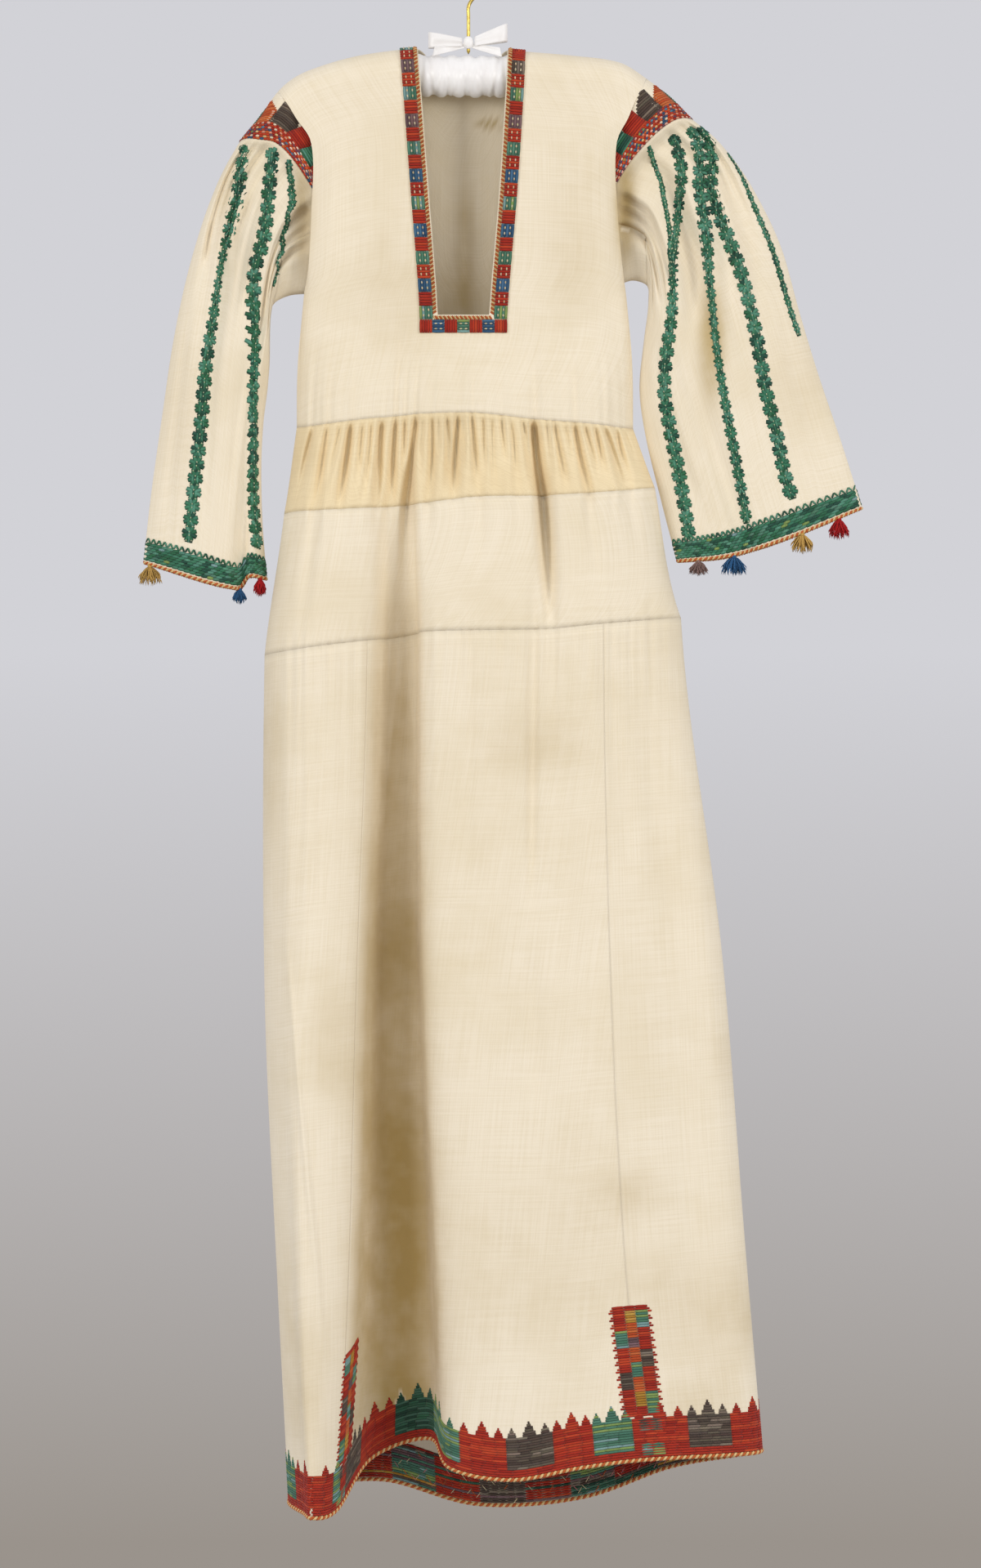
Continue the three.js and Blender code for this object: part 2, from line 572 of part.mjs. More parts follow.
// The back of the bodice, from the back neckline and the shoulder line to the waist seam.
function bodiceBackPoint(station, row) {
  const waist = trunkPoint(station, 0);
  const rightWaist = trunkPoint(RIGHT_SIDE, 0).x;
  const leftWaist = trunkPoint(0, 0).x;
  const share = (rightWaist - waist.x) / (rightWaist - leftWaist);
  const xAt = (down) => mix(edgeRight(down), edgeLeft(down), share);
  const topX = xAt(0);
  const fromNeck = Math.min(topX - neckLeft(0), neckRight(0) - topX);
  const scoop = BACK_NECK_DROP * ease(fromNeck / BACK_NECK_ROUND);
  const top = shoulderLine(topX);
  const part = Math.min(row, 1);
  const downUpper = mix(top + scoop, NECK_BOTTOM, Math.abs(part) * part);
  const lower = row - part;
  const down = mix(downUpper, -waist.z, lower);
  const x = mix(xAt(down), waist.x, ease(lower));
  const chest = overHanger(down - shoulderLine(x)) * sideRound(x, down);
  return place(x, mix(chest, waist.y, ease(lower)), down);
}

// The neck strip, along (0 to 3: down the left edge, across the bottom, up the right edge) and
// across (0 at the opening, 1 at its outer edge), on the front of the bodice.
function neckStripPoint(along, across) {
  const width = NECK_STRIP_WIDTH * across;
  const corner = NECK_BOTTOM + width;
  let x;
  let down;
  if (along <= 1) {
    down = mix(shoulderLine(neckLeft(0)), corner, along ** 2);
    x = neckLeft(down) - width;
  } else if (along >= 2) {
    down = mix(shoulderLine(neckRight(0)), corner, (3 - along) ** 2);
    x = neckRight(down) + width;
  } else {
    down = corner;
    x = mix(neckLeft(corner) - width, neckRight(corner) + width, along - 1);
  }
  const low = ease((down - NECK_BOTTOM) / (CHEST_FLAT - NECK_BOTTOM));
  const y = -mix(overHanger(down - shoulderLine(x)), TRUNK[0].panel, low);
  return place(x, y, down);
}

// ---------------------------------------------------------------- shoulders and sleeves

// A line over the shoulder, as an x and a drop below the shoulder line for each reach, from 0 on
// that line to 1 at the tip.
function shoulderSeam({ topX, tipX, tipDrop }) {
  return (reach) => ({ x: mix(topX, tipX, reach ** SHOULDER_BEND), drop: tipDrop * reach ** 2 });
}

function bodiceEdgeSeam(topDown, edge) {
  return (reach) => {
    const down = mix(topDown, NECK_BOTTOM, (reach * SHOULDER_TIP_ROW) ** 2);
    const x = edge(down);
    return { x, drop: Math.max(down - shoulderLine(x), 0) };
  };
}

// The same line, straight between the given reaches, as the bodice's own rows make it.
function chorded(line, reaches) {
  return (reach) => {
    const found = reaches.findIndex((at) => at >= reach - 1e-9);
    const next = found < 0 ? reaches.length - 1 : Math.max(found, 1);
    const share = (reach - reaches[next - 1]) / (reaches[next] - reaches[next - 1]);
    const [a, b] = [line(reaches[next - 1]), line(reaches[next])];
    const x = mix(a.x, b.x, share);
    const down = mix(shoulderLine(a.x) + a.drop, shoulderLine(b.x) + b.drop, share);
    return { x, drop: Math.max(down - shoulderLine(x), 0) };
  };
}

// A place on the lens-shaped pieces over the shoulder: turn -1 is the back tip, 0 the shoulder
// line and 1 the front tip, and across goes from one line to the next.
function shoulderPoint(lineA, lineB, turn, across) {
  const a = lineA(Math.abs(turn));
  const b = lineB(Math.abs(turn));
  const x = mix(a.x, b.x, across);
  const drop = mix(a.drop, b.drop, across);
  return place(x, -Math.sign(turn) * overHanger(drop), shoulderLine(x) + drop);
}

// The armhole, from the shoulder line (0) along the band's lower seam to its tip, and from there
// down the bodice's edge to the underarm (1).
function armholeLine(side) {
  const seam = shoulderSeam(SHOULDERS[side].outer);
  const edge = side === 'left' ? edgeLeft : edgeRight;
  const tip = seam(1);
  const tipDown = shoulderLine(tip.x) + tip.drop;
  const along = (turn) => {
    const low = clamp01((turn - ARMHOLE_TIP) / (1 - ARMHOLE_TIP));
    if (low > 0) {
      const down = mix(tipDown, UNDERARM[side], low);
      return { x: mix(tip.x, edge(down), ease(low * ARMHOLE_TURN_IN)), down };
    }
    const { x, drop } = seam(Math.abs(turn) / ARMHOLE_TIP);
    return { x, down: shoulderLine(x) + drop };
  };
  return { x: (turn) => along(turn).x, down: (turn) => along(turn).down };
}

// A sleeve as a tube: turn 0 is the outer fold, 1 the inner fold, and 1 to 2 comes back behind.
// Its outline blends the armhole and cuff lines with the two folds.
function makeSleevePoint(sleeve) {
  const fold = Object.fromEntries(
    Object.keys(sleeve.folds[0])
      .filter((name) => name !== 'share')
      .map((name) => [name, through(sleeve.folds, 'share', name)]),
  );
  const cuff = { x: through(sleeve.cuff, 'turn', 'x'), down: through(sleeve.cuff, 'turn', 'down') };
  const armhole = armholeLine(sleeve.side);
  return (turn, share) => {
    const half = ((turn % 2) + 2) % 2;
    const front = half <= 1;
    const across = front ? half : 2 - half;
    const patch = (outer, inner, top, bottom) => {
      const flat = mix(mix(top(0), top(1), across), mix(bottom(0), bottom(1), across), share);
      const sides = mix(outer(share), inner(share), across);
      return mix(top(across), bottom(across), share) + sides - flat;
    };
    const x = patch(fold.outerX, fold.innerX, armhole.x, cuff.x);
    const down = patch(fold.outerDown, fold.innerDown, armhole.down, cuff.down);
    const atArmhole = overHanger(armhole.down(across) - shoulderLine(armhole.x(across)))
      * armholeOpen(armhole.down(across), sleeve.folds[0].innerDown);
    const full = fold.depth(share) * Math.sin(Math.PI * across) ** SLEEVE_ROUND;
    const depth = mix(atArmhole, full, ease(share / SLEEVE_HEAD));
    const calm = ease(share / SLEEVE_GATHERED) * ease(Math.sin(Math.PI * across) * CALM_FOLDS);
    const trough = ({ turn: middle, width }) => {
      const away = Math.abs(half - middle);
      return Math.exp(-((Math.min(away, 2 - away) / width) ** 2));
    };
    const gathered = sleeve.gathers.reduce((sum, gather) => {
      const fade = 1 - ease((share / gather.end - SLEEVE_HOLD) / (1 - SLEEVE_HOLD));
      return sum + gather.depth * fade * trough(gather);
    }, 0);
    const creased = sleeve.creases.reduce((sum, crease) => {
      const rise = ease((share - crease.start) / (1 - crease.start));
      return sum + crease.depth * rise * trough(crease);
    }, 0);
    const y = (front ? -1 : 1) * Math.max(depth - (gathered + creased) * calm, 0);
    return place(x, y, down);
  };
}

// ---------------------------------------------------------------- materials

function cloth(colour) {
  return new THREE.MeshStandardMaterial({ color: colour, roughness: 0.95, metalness: 0 });
}

const homespun = () => cloth(0xefe3c8);
const tanCloth = () => cloth(0xe2cca0);
const embroidery = () => cloth(0xb5331f);
const satin = () => new THREE.MeshStandardMaterial({ color: 0xf4f2f0, roughness: 0.4, metalness: 0 });
const wire = () => new THREE.MeshStandardMaterial({ color: 0xd8c878, roughness: 0.3, metalness: 1 });

const dress = new THREE.Group();
const hanger = new THREE.Group();

function add(group, name, geometry, material) {
  const mesh = new THREE.Mesh(geometry, material);
  mesh.name = name;
  group.add(mesh);
}

// ---------------------------------------------------------------- cutting the pieces

// Stations of a section with a count of steps between each pair of neighbours.
function stationSteps(from, to, countAt) {
  const list = [from];
  for (let station = from; station < to; station += 1) {
    const count = countAt(((station % ROUND) + ROUND) % ROUND);
    for (let k = 1; k <= count; k += 1) list.push(station + k / count);
  }
  return list;
}

// Gathers need close columns in the front and back, the sides and the skirt need fewer.
const GATHER_STEPS = [2, 3, 5, 2, 2, 2, 6, 7, 6, 5, 2, 2, 4, 6, 6, 6, 5, 2];
const SKIRT_STEPS = [2, 2, 3, 3, 2, 3, 3, 3, 3, 3, 2, 2, 3, 4, 3, 4, 3, 2];
const gatherSteps = (station) => GATHER_STEPS[station];
const skirtSteps = (station) => SKIRT_STEPS[station];

function buildTrunk() {
  const frontStations = stationSteps(0, RIGHT_SIDE, gatherSteps);
  const backStations = stationSteps(RIGHT_SIDE, ROUND, gatherSteps);
  const band = steps(0, 1, 2);
  const yoke = [1, 1.3, 1.65, 2];
  add(dress, 'waist_band_front', clothWall(trunkPoint, frontStations, band), tanCloth());
  add(dress, 'waist_band_back', clothWall(trunkPoint, backStations, band), tanCloth());
  add(dress, 'skirt_yoke_front', clothWall(trunkPoint, frontStations, yoke), homespun());
  add(dress, 'skirt_yoke_back', clothWall(trunkPoint, backStations, yoke), homespun());
  const skirt = [2, 2.07, 2.15, 2.25, 2.36, 2.5, 2.65, 2.8, 2.92, 3];
  const panels = [
    { name: 'skirt_front', from: LEFT_SEAM, to: RIGHT_SEAM },
    { name: 'skirt_side_right', from: RIGHT_SEAM, to: BACK_SEAM_RIGHT },
    { name: 'skirt_back', from: BACK_SEAM_RIGHT, to: BACK_SEAM_LEFT },
    { name: 'skirt_side_left', from: BACK_SEAM_LEFT, to: ROUND + LEFT_SEAM },
  ];
  panels.forEach(({ name, from, to }) => {
    const geometry = clothWall(trunkPoint, stationSteps(from, to, skirtSteps), skirt);
    add(dress, name, geometry, homespun());
  });
  const hemPoint = (station, level) => {
    const hem = trunkPoint(station, 3);
    hem.z -= HEM_CORD_HEIGHT * (level - 3);
    return hem;
  };
  const hemStations = stationSteps(0, ROUND, skirtSteps).slice(0, -1);
  const cord = clothWall(hemPoint, hemStations, [3, 4], { round: true, wall: HEM_CORD_WALL });
  add(dress, 'hem_cord', cord, embroidery());
}

function buildBodice() {
  const left = stationSteps(0, 6, gatherSteps).filter((_, k) => k % 2 === 0);
  const right = stationSteps(8, RIGHT_SIDE, gatherSteps).filter((_, k) => k % 2 === 0);
  const stations = [
    ...left.filter((station) => station < NECK_STATION_LEFT - 0.2),
    NECK_STATION_LEFT,
    6.6,
    6.95,
    NECK_STATION_RIGHT,
    7.6,
    ...right,
    ...(right.at(-1) < RIGHT_SIDE ? [RIGHT_SIDE] : []),
  ];
  const rows = BODICE_ROWS;
  const opening = (i, j) => stations[i] >= NECK_STATION_LEFT
    && stations[i] < NECK_STATION_RIGHT && rows[j] < 1;
  const front = clothWall(bodiceFrontPoint, stations, rows, { cut: opening });
  add(dress, 'bodice_front', front, homespun());
  const backStations = stationSteps(RIGHT_SIDE, ROUND, (station) => (station === 14 ? 6 : 4));
  add(dress, 'bodice_back', clothWall(bodiceBackPoint, backStations, rows), homespun());
  const leftLeg = UPPER_ROWS.slice(2);
  const bottom = steps(1, 2, 4).slice(1);
  const rightLeg = leftLeg.map((row) => 3 - row).reverse().slice(1);
  const along = [...leftLeg, ...bottom, ...rightLeg];
  const strip = clothWall(
    neckStripPoint,
    along,
    [0, 1],
    { wall: NECK_STRIP_WALL, lift: NECK_STRIP_WALL + SEAM_GAP + NECK_STRIP_EASE },
  );
  add(dress, 'neck_edging', strip, embroidery());
}

function buildShoulder(side) {
  const leftward = side === 'left';
  const rowReaches = UPPER_ROWS.filter((row) => row <= SHOULDER_TIP_ROW)
    .map((row) => row / SHOULDER_TIP_ROW);
  const edgeSeam = bodiceEdgeSeam(SHOULDERS[side].topDown, leftward ? edgeLeft : edgeRight);
  const inner = chorded(edgeSeam, rowReaches);
  const middle = shoulderSeam(SHOULDERS[side].middle);
  const outer = shoulderSeam(SHOULDERS[side].outer);
  const piece = (lineA, lineB) => (leftward
    ? (across, turn) => shoulderPoint(lineB, lineA, turn, across)
    : (across, turn) => shoulderPoint(lineA, lineB, turn, across));
  const turns = [...BAND_REACHES.map((reach) => -reach).reverse(), 0, ...BAND_REACHES];
  const acrossPiece = steps(0, 1, 3);
  const acrossBand = steps(0, 1, 2);
  add(dress, `shoulder_${side}`, clothWall(piece(inner, middle), acrossPiece, turns), embroidery());
  add(dress, `sleeve_band_${side}`, clothWall(piece(middle, outer), acrossBand, turns), embroidery());
}

function buildSleeve(side) {
  const sleevePoint = makeSleevePoint(SLEEVES[side]);
  const leftward = side === 'left';
  const point = leftward ? sleevePoint : (turn, share) => sleevePoint(1 - turn, share);
  const innerFold = leftward ? 1 : 0;
  const frontHalf = [0, ...BAND_REACHES.map((reach) => reach * ARMHOLE_TIP), ...LOWER_TURNS, 1];
  const half = leftward ? frontHalf : frontHalf.map((turn) => 1 - turn).reverse();
  const otherHalf = half.slice(1, -1).map((turn) => 2 - turn).reverse();
  const turns = [...half, ...otherHalf];
  const gussetRows = SLEEVE_SHARES.indexOf(GUSSET_SHARE);
  const cut = (i, j) => {
    const next = i + 1 < turns.length ? turns[i + 1] : 2;
    const off = Math.abs((turns[i] + next) / 2 - innerFold);
    return j < gussetRows && Math.min(off, 2 - off) < GUSSET_HALF_TURN;
  };
  const sleeve = clothWall(point, turns, SLEEVE_SHARES, { round: true, cut });
  add(dress, `sleeve_${side}`, sleeve, homespun());
  const fromFold = [...LOWER_TURNS, 1].map((turn) => 1 - turn).filter((off) => off < GUSSET_HALF_TURN);
  const offsets = [GUSSET_HALF_TURN, ...fromFold];
  const gussetTurns = [
    ...offsets.map((off) => innerFold - off),
    ...offsets.slice(0, -1).reverse().map((off) => innerFold + off),
  ];
  const gusset = clothWall(point, gussetTurns, SLEEVE_SHARES.slice(0, gussetRows + 1));
  add(dress, `gusset_${side}`, gusset, homespun());
  const cuffShares = [SLEEVE_SHARES.at(-1), 1];
  add(dress, `cuff_band_${side}`, clothWall(point, turns, cuffShares, { round: true }), embroidery());
}

// ---------------------------------------------------------------- tassels

function solidOf(geometry) {
  geometry.deleteAttribute('normal');
  geometry.deleteAttribute('uv');
  const merged = mergeVertices(geometry, 1e-4);
  const mesh = new wasm.Mesh({
    numProp: 3,
    vertProperties: Float32Array.from(merged.attributes.position.array),
    triVerts: Uint32Array.from(merged.index.array),
  });
  return new wasm.Manifold(mesh);
}

function geometryOf(solid) {
  const { vertProperties, triVerts } = solid.getMesh();
  const geometry = new THREE.BufferGeometry();
  geometry.setAttribute('position', new THREE.BufferAttribute(vertProperties, 3));
  geometry.setIndex(new THREE.BufferAttribute(triVerts, 1));
  return geometry;
}

// A tapering three-sided strand from one point to another.
function strand(from, to) {
  const direction = to.clone().sub(from);
  const tipRadius = STRAND_RADIUS * STRAND_TAPER;
  const geometry = new THREE.CylinderGeometry(STRAND_RADIUS, tipRadius, direction.length(), 3);
  const upright = new THREE.Vector3(0, -1, 0);
  geometry.applyQuaternion(
    new THREE.Quaternion().setFromUnitVectors(upright, direction.clone().normalize()),
  );
  const middle = from.clone().add(to).multiplyScalar(0.5);
  return geometry.translate(middle.x, middle.y, middle.z);
}

// A bundle of strands that fan out from a round head, fused at their roots.
function tassel({ length, spread }) {
  const head = new THREE.SphereGeometry(TASSEL_HEAD_RADIUS, 8, 5);
  let solid = solidOf(head);
  for (let k = 0; k < STRANDS; k += 1) {
    const share = (k + 0.5) / STRANDS;
    const sideways = mix(-1, 1, share);
    const forward = Math.sin(2.4 * k + 1) * TASSEL_DEPTH;
    const root = new THREE.Vector3(sideways * TASSEL_ROOTS, forward * TASSEL_ROOTS, 0);
    const fall = length * (1 - STRAND_UNEVEN + STRAND_UNEVEN * Math.cos(5 * k));
    const tip = new THREE.Vector3(sideways * spread, forward * spread, -fall);
    solid = solid.add(solidOf(strand(root, tip)));
  }
  return geometryOf(solid);
}

function buildTassels() {
  TASSELS.forEach((row) => {
    const seat = makeSleevePoint(SLEEVES[row.side])(row.turn, 1);
    const mesh = new THREE.Mesh(tassel(row), cloth(row.colour));
    mesh.name = `tassel_${row.name}`;
    mesh.position.set(seat.x, seat.y + CLOTH / 2, seat.z - TASSEL_HEAD_RADIUS - SEAM_GAP / 2);
    dress.add(mesh);
  });
}

// ---------------------------------------------------------------- hanger

// The padded arm: a round profile along the hanger, bent to follow the shoulder line.
const PAD_BLUNT = 5; // how long the pad keeps its thickness before its round ends
const PAD_HALF = [0, 0.01, 0.03, 0.07, 0.13, 0.2, 0.3, 0.4, 0.5];
const PAD_SHARES = [...PAD_HALF, ...PAD_HALF.slice(0, -1).map((share) => 1 - share).reverse()];

function padGeometry() {
  const taper = (share) => PAD_RADIUS * Math.sqrt(1 - Math.abs(2 * share - 1) ** PAD_BLUNT);
  const profile = PAD_SHARES.map(
    (share) => new THREE.Vector2(taper(share), mix(PAD_ENDS.left, PAD_ENDS.right, share)),
  );
  const geometry = new THREE.LatheGeometry(profile, 16);
  geometry.rotateZ(-Math.PI / 2);
  const position = geometry.attributes.position;
  const radiusAt = through(profile.map((p) => ({ x: p.y, radius: p.x })), 'x', 'radius');
  for (let k = 0; k < position.count; k += 1) {
    const x = position.getX(k);
    const level = shoulderLine(x);
    const towardsEnd = (x - (PAD_ENDS.left + PAD_ENDS.right) / 2) / PAD_ENDS.right;
    const inNeck = 1 - ease((Math.abs(x - NECK_MIDDLE) - NECK_DIP_FROM) / NECK_DIP_WIDTH);
    const sag = PAD_END_SAG * towardsEnd ** 4 + PAD_NECK_DIP * inNeck;
    const axis = level + CLOTH + PAD_CLEARANCE + radiusAt(x) + sag;
    position.setZ(k, position.getZ(k) - axis);
  }
  return geometry;
}

// A ribbon bent into a loop beside the knot, open at the knot.
function bowLoop({ side, length, rise, width }) {
  const point = (turn, across) => {
    const swing = Math.sin(Math.PI * turn);
    const x = side * (BOW_KNOT + SEAM_GAP * 2 + length * (swing - BOW_START) / (1 - BOW_START));
    const y = BOW_Y - side * BOW_LOOP_DEPTH * Math.sin(2 * Math.PI * turn);
    const spread = mix(BOW_PINCH, 1, swing);
    return place(x, y, BOW_DOWN - rise * swing + (across - 0.5) * width * spread);
  };
  const start = BOW_START / Math.PI;
  return clothWall(point, steps(start, 1 - start, 16), steps(0, 1, 2), { wall: RIBBON });
}

// A ribbon's end that hangs from under the knot, forward and to one side, and widens.
function bowTail({ side, length, drop }) {
  const top = BOW_DOWN + BOW_KNOT * KNOT_HEIGHT + SEAM_GAP / 2;
  const point = (across, along) => {
    const middle = side * mix(TAIL_ROOT, length, along);
    const x = middle + (across - 0.5) * mix(TAIL_WIDTH / 2, TAIL_WIDTH, along);
    return place(x, BOW_Y - TAIL_FORWARD * along, mix(top, BOW_DOWN + drop, along));
  };
  return clothWall(point, steps(0, 1, 3), steps(0, 1, 4), { wall: RIBBON });
}

function buildHanger() {
  add(hanger, 'hanger_pad', padGeometry(), satin());
  const circle = new THREE.Shape().absarc(0, 0, WIRE / 2, 0, 2 * Math.PI);
  const bend = steps(HOOK_TURN.from, HOOK_TURN.to, 9).map((turn) => new THREE.Vector3(
    (HOOK_RADIUS + WIRE / 2) * Math.cos(Math.PI * turn),
    0,
    -HOOK_RADIUS + (HOOK_RADIUS + WIRE / 2) * Math.sin(Math.PI * turn),
  ));
  const stem = [STEM_FOOT, ...STEM_ROUTE].map((down) => new THREE.Vector3(0, 0, -down));
  const path = new THREE.CatmullRomCurve3([...stem, ...bend]);
  const hook = new THREE.ExtrudeGeometry(circle, { steps: 36, extrudePath: path, curveSegments: 4 });
  add(hanger, 'hanger_hook', hook, wire());
  const knot = new THREE.SphereGeometry(BOW_KNOT, 10, 7);
  knot.scale(1, KNOT_DEPTH, KNOT_HEIGHT);
  knot.translate(0, BOW_Y, -BOW_DOWN);
  add(hanger, 'bow_knot', knot, satin());
  BOW_LOOPS.forEach((row) => add(hanger, row.name, bowLoop(row), satin()));
  BOW_TAILS.forEach((row) => add(hanger, row.name, bowTail(row), satin()));
}

buildTrunk();
buildBodice();
['left', 'right'].forEach((side) => {
  buildShoulder(side);
  buildSleeve(side);
});
buildTassels();
buildHanger();

const group = new THREE.Group();
group.add(dress, hanger);
export default group;
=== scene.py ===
"""An embroidered folk dress of cream homespun, hung on a padded satin hanger.

Shapes are worked out in millimetres and put into the meshes in metres. x runs to the right of
someone facing the dress, the front faces -y, and tables give heights as the distance down from
the hook's crown. The colours of every thread and cloth are sRGB hex values.
"""

from types import SimpleNamespace

import bmesh
import bpy
import numpy as np
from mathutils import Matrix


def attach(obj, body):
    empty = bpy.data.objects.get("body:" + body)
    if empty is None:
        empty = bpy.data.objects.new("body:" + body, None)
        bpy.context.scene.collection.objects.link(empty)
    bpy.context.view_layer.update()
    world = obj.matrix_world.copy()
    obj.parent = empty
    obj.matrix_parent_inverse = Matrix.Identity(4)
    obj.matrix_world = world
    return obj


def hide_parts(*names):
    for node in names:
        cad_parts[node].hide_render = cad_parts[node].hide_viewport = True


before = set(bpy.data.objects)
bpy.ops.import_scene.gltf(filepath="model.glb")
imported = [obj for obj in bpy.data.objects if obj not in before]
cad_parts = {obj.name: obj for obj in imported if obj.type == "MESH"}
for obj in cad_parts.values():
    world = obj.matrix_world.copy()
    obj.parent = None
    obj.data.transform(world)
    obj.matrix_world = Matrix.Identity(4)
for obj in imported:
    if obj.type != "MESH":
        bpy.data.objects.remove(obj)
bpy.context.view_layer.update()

# ---------------------------------------------------------------- sizes, all in millimetres

MM = 0.001
CLOTH = 1.2  # wall of the homespun
CHEST_RADIUS = 24  # how far the cloth stands from the hanger's mid plane
NECK_BOTTOM = 328
NECK_STRIP_WIDTH = 16.5
NECK_LIFT = 1.2  # how far the neck's strip stands off the chest
CHEST_FLAT = 420  # how far down the chest's round has gone over into the waist's depth
BACK_NECK_DROP = 22
BACK_NECK_ROUND = 26
SIDE_ROUND = 26  # how far in from the bodice's edges the cloth rounds off
UNDERARM_ROUND = 45
UNDERARM = {"left": 307, "right": 298}
ARMHOLE_TIP = 0.55  # the turn at which the armhole leaves the shoulder piece's tip
GUSSET_HALF_TURN = 0.28
GUSSET_SHARE = 0.11  # of the sleeve's length, from the armhole
CUFF_SHARE = 0.055  # of the sleeve's length, from the cuff
EDGE_REACH = 3.5  # how far the bodice's rolled edges lie over the sleeve heads
EDGE_LIFT = 5.5
SHOULDER_TIP_ROW = 0.6  # the bodice's row that the shoulder piece's tips reach
NECK_STATIONS = (6.3, 7.25)  # the waist seam's stations below the neck's two edges
RIGHT_SIDE = 11  # the station of the right side
ROUND = 18  # stations round the trunk

SHOULDER_LINE = np.array([
    (-225, 190), (-210, 168), (-192, 146), (-175, 122), (-160, 109), (-142, 100.5), (-107, 90),
    (-70, 84), (-46, 82.5), (36, 83.5), (54, 85), (95, 88.5), (139, 95), (163, 109.5), (186, 128),
    (204, 146), (225, 163)], float)
BODICE_EDGES = np.array([  # down, left, right
    (110, -175, 163), (122, -174, 158), (145, -157, 145), (171, -140, 132), (238, -140, 133),
    (289, -143, 138), (308, -147, 141), (352, -151, 145), (428, -157.5, 151)], float)
NECK_EDGES = np.array([  # down, left, right
    (82, -46.5, 36), (124, -43, 34), (217, -36, 28), (300, -29.5, 21), (328, -28, 19)], float)

# Level sections of the trunk: 0 the waist seam, 1 under the waist band, 2 under the yoke, 3 the hem.
SECTION = ("left", "right", "crest", "pleat", "valley_left", "valley_right", "floor", "panel",
           "seam", "back")
TRUNK = np.array([
    (0, -157.5, 151, -122, 32, -84, -48, -33, 36, 112, 33),
    (1, -169, 171, -130, 46, -84, -46, -27, 47, 118, 41),
    (2, -187, 195, -140, 54, -84, -42, -6, 54, 123, 49),
    (2.4, -187, 232, -150, 63, -94, -40, 8, 58, 129, 55),
    (2.75, -175, 253, -148, 70, -103, -28, 15, 60, 142, 60),
    (3, -165, 269, -141, 74, -116, -21, 20, 58, 160, 62)], float)
# Each station: from, to, share of the way, and the shares of pleat, floor, panel and back in its y.
PLACES = (
    ("left", "right", 0, 0, 0, 0, 0), ("left", "right", 0.035, -0.68, 0, 0, 0),
    ("crest", "valley_left", 0, -1, 0, 0, 0), ("crest", "valley_left", 0.86, -0.75, 0.25, 0, 0),
    ("valley_left", "valley_right", 0.28, 0, 1, 0, 0),
    ("valley_left", "valley_right", 0.84, 0, 1, 0, 0),
    ("valley_right", "seam", 0.024, 0, 0.2, -0.8, 0), ("valley_right", "seam", 0.33, 0, 0, -1, 0),
    ("valley_right", "seam", 0.68, 0, 0, -1, 0), ("seam", "right", 0, 0, 0, -0.93, 0),
    ("right", "left", 0.035, 0, 0, -0.52, 0), ("right", "left", 0, 0, 0, 0, 0),
    ("right", "left", 0.035, 0, 0, 0, 0.6), ("right", "left", 0.19, 0, 0, 0, 0.95),
    ("right", "left", 0.38, 0, 0, 0, 1.03), ("right", "left", 0.6, 0, 0, 0, 1),
    ("right", "left", 0.8, 0, 0, 0, 0.95), ("right", "left", 0.965, 0, 0, 0, 0.6))
# The height of the waist seam, the two seams below it and the hem at each station.
SEAMS = np.array([
    (430, 509, 639, 1414), (430, 508, 637, 1419), (427, 507, 632, 1421), (423, 505, 626, 1416),
    (422, 504, 624, 1376), (420, 502, 620, 1358), (419, 501, 618, 1379), (418, 495, 617, 1388),
    (424, 494, 616, 1377), (428, 491, 611, 1370), (431, 487, 606, 1367), (431, 485, 605, 1366),
    (430, 486, 606, 1374), (427, 488, 610, 1388), (424, 490, 614, 1417), (424, 492, 617, 1423),
    (427, 496, 622, 1400), (430, 503, 632, 1405)], float)
# Gathers under the waist seam: x, depth, width and the level where each runs out.
FRONT_GATHERS = (
    (-141, 3, 5, 1.3), (-124, 4.5, 6, 2.2), (-106, 4, 6, 1.6), (-66, 4, 6, 1.2), (-32, 4, 6.5, 1.7),
    (-11, 7, 6.5, 1.3), (9, 4.5, 6, 1.8), (26, 3.5, 5.5, 1.2), (42, 4, 6, 1.6), (61, 13, 8, 2.3),
    (81, 3.5, 6, 1.2), (98, 5.5, 6, 1.9), (114, 4, 5.5, 1.3), (131, 4, 5.5, 1.6))
# Narrow creases drawn up by the gathering thread, in the same columns.
FRONT_CREASES = (
    (-141, 4, 2.2, 0.9), (-127, 4, 2.2, 1.1), (-118, 3.5, 2.2, 0.8), (-107, 7, 2.6, 1.1),
    (-95, 4, 2.4, 0.9), (-88, 3.5, 2.2, 1.2), (-77, 8, 3, 1.35), (-64.5, 5.5, 2.4, 1.2),
    (-57, 4, 2.2, 0.8), (-49, 9, 3, 1.9), (-40, 4, 2.4, 0.9), (-32, 5, 2.4, 1.1),
    (-26, 3.5, 2, 0.7), (-19, 6, 2.4, 1.1), (-10.5, 8, 2.6, 1.15), (-3, 4, 2.2, 0.8),
    (5, 6, 2.4, 1.0), (13, 5, 2.2, 0.9), (22, 4, 2.2, 1.2), (31, 4.5, 2.2, 0.8),
    (38, 3.5, 2, 1.0), (50, 6, 2.4, 1.0), (60, 12, 3.2, 2.35), (70, 4, 2.2, 0.9),
    (80, 4.5, 2.4, 1.1), (88, 3.5, 2.2, 0.8), (98, 6, 2.6, 1.2), (106.5, 5, 2.4, 1.0),
    (114, 4, 2.2, 0.8), (125, 6, 2.6, 1.3), (135, 4, 2.2, 0.9), (143, 3.5, 2.2, 0.8))
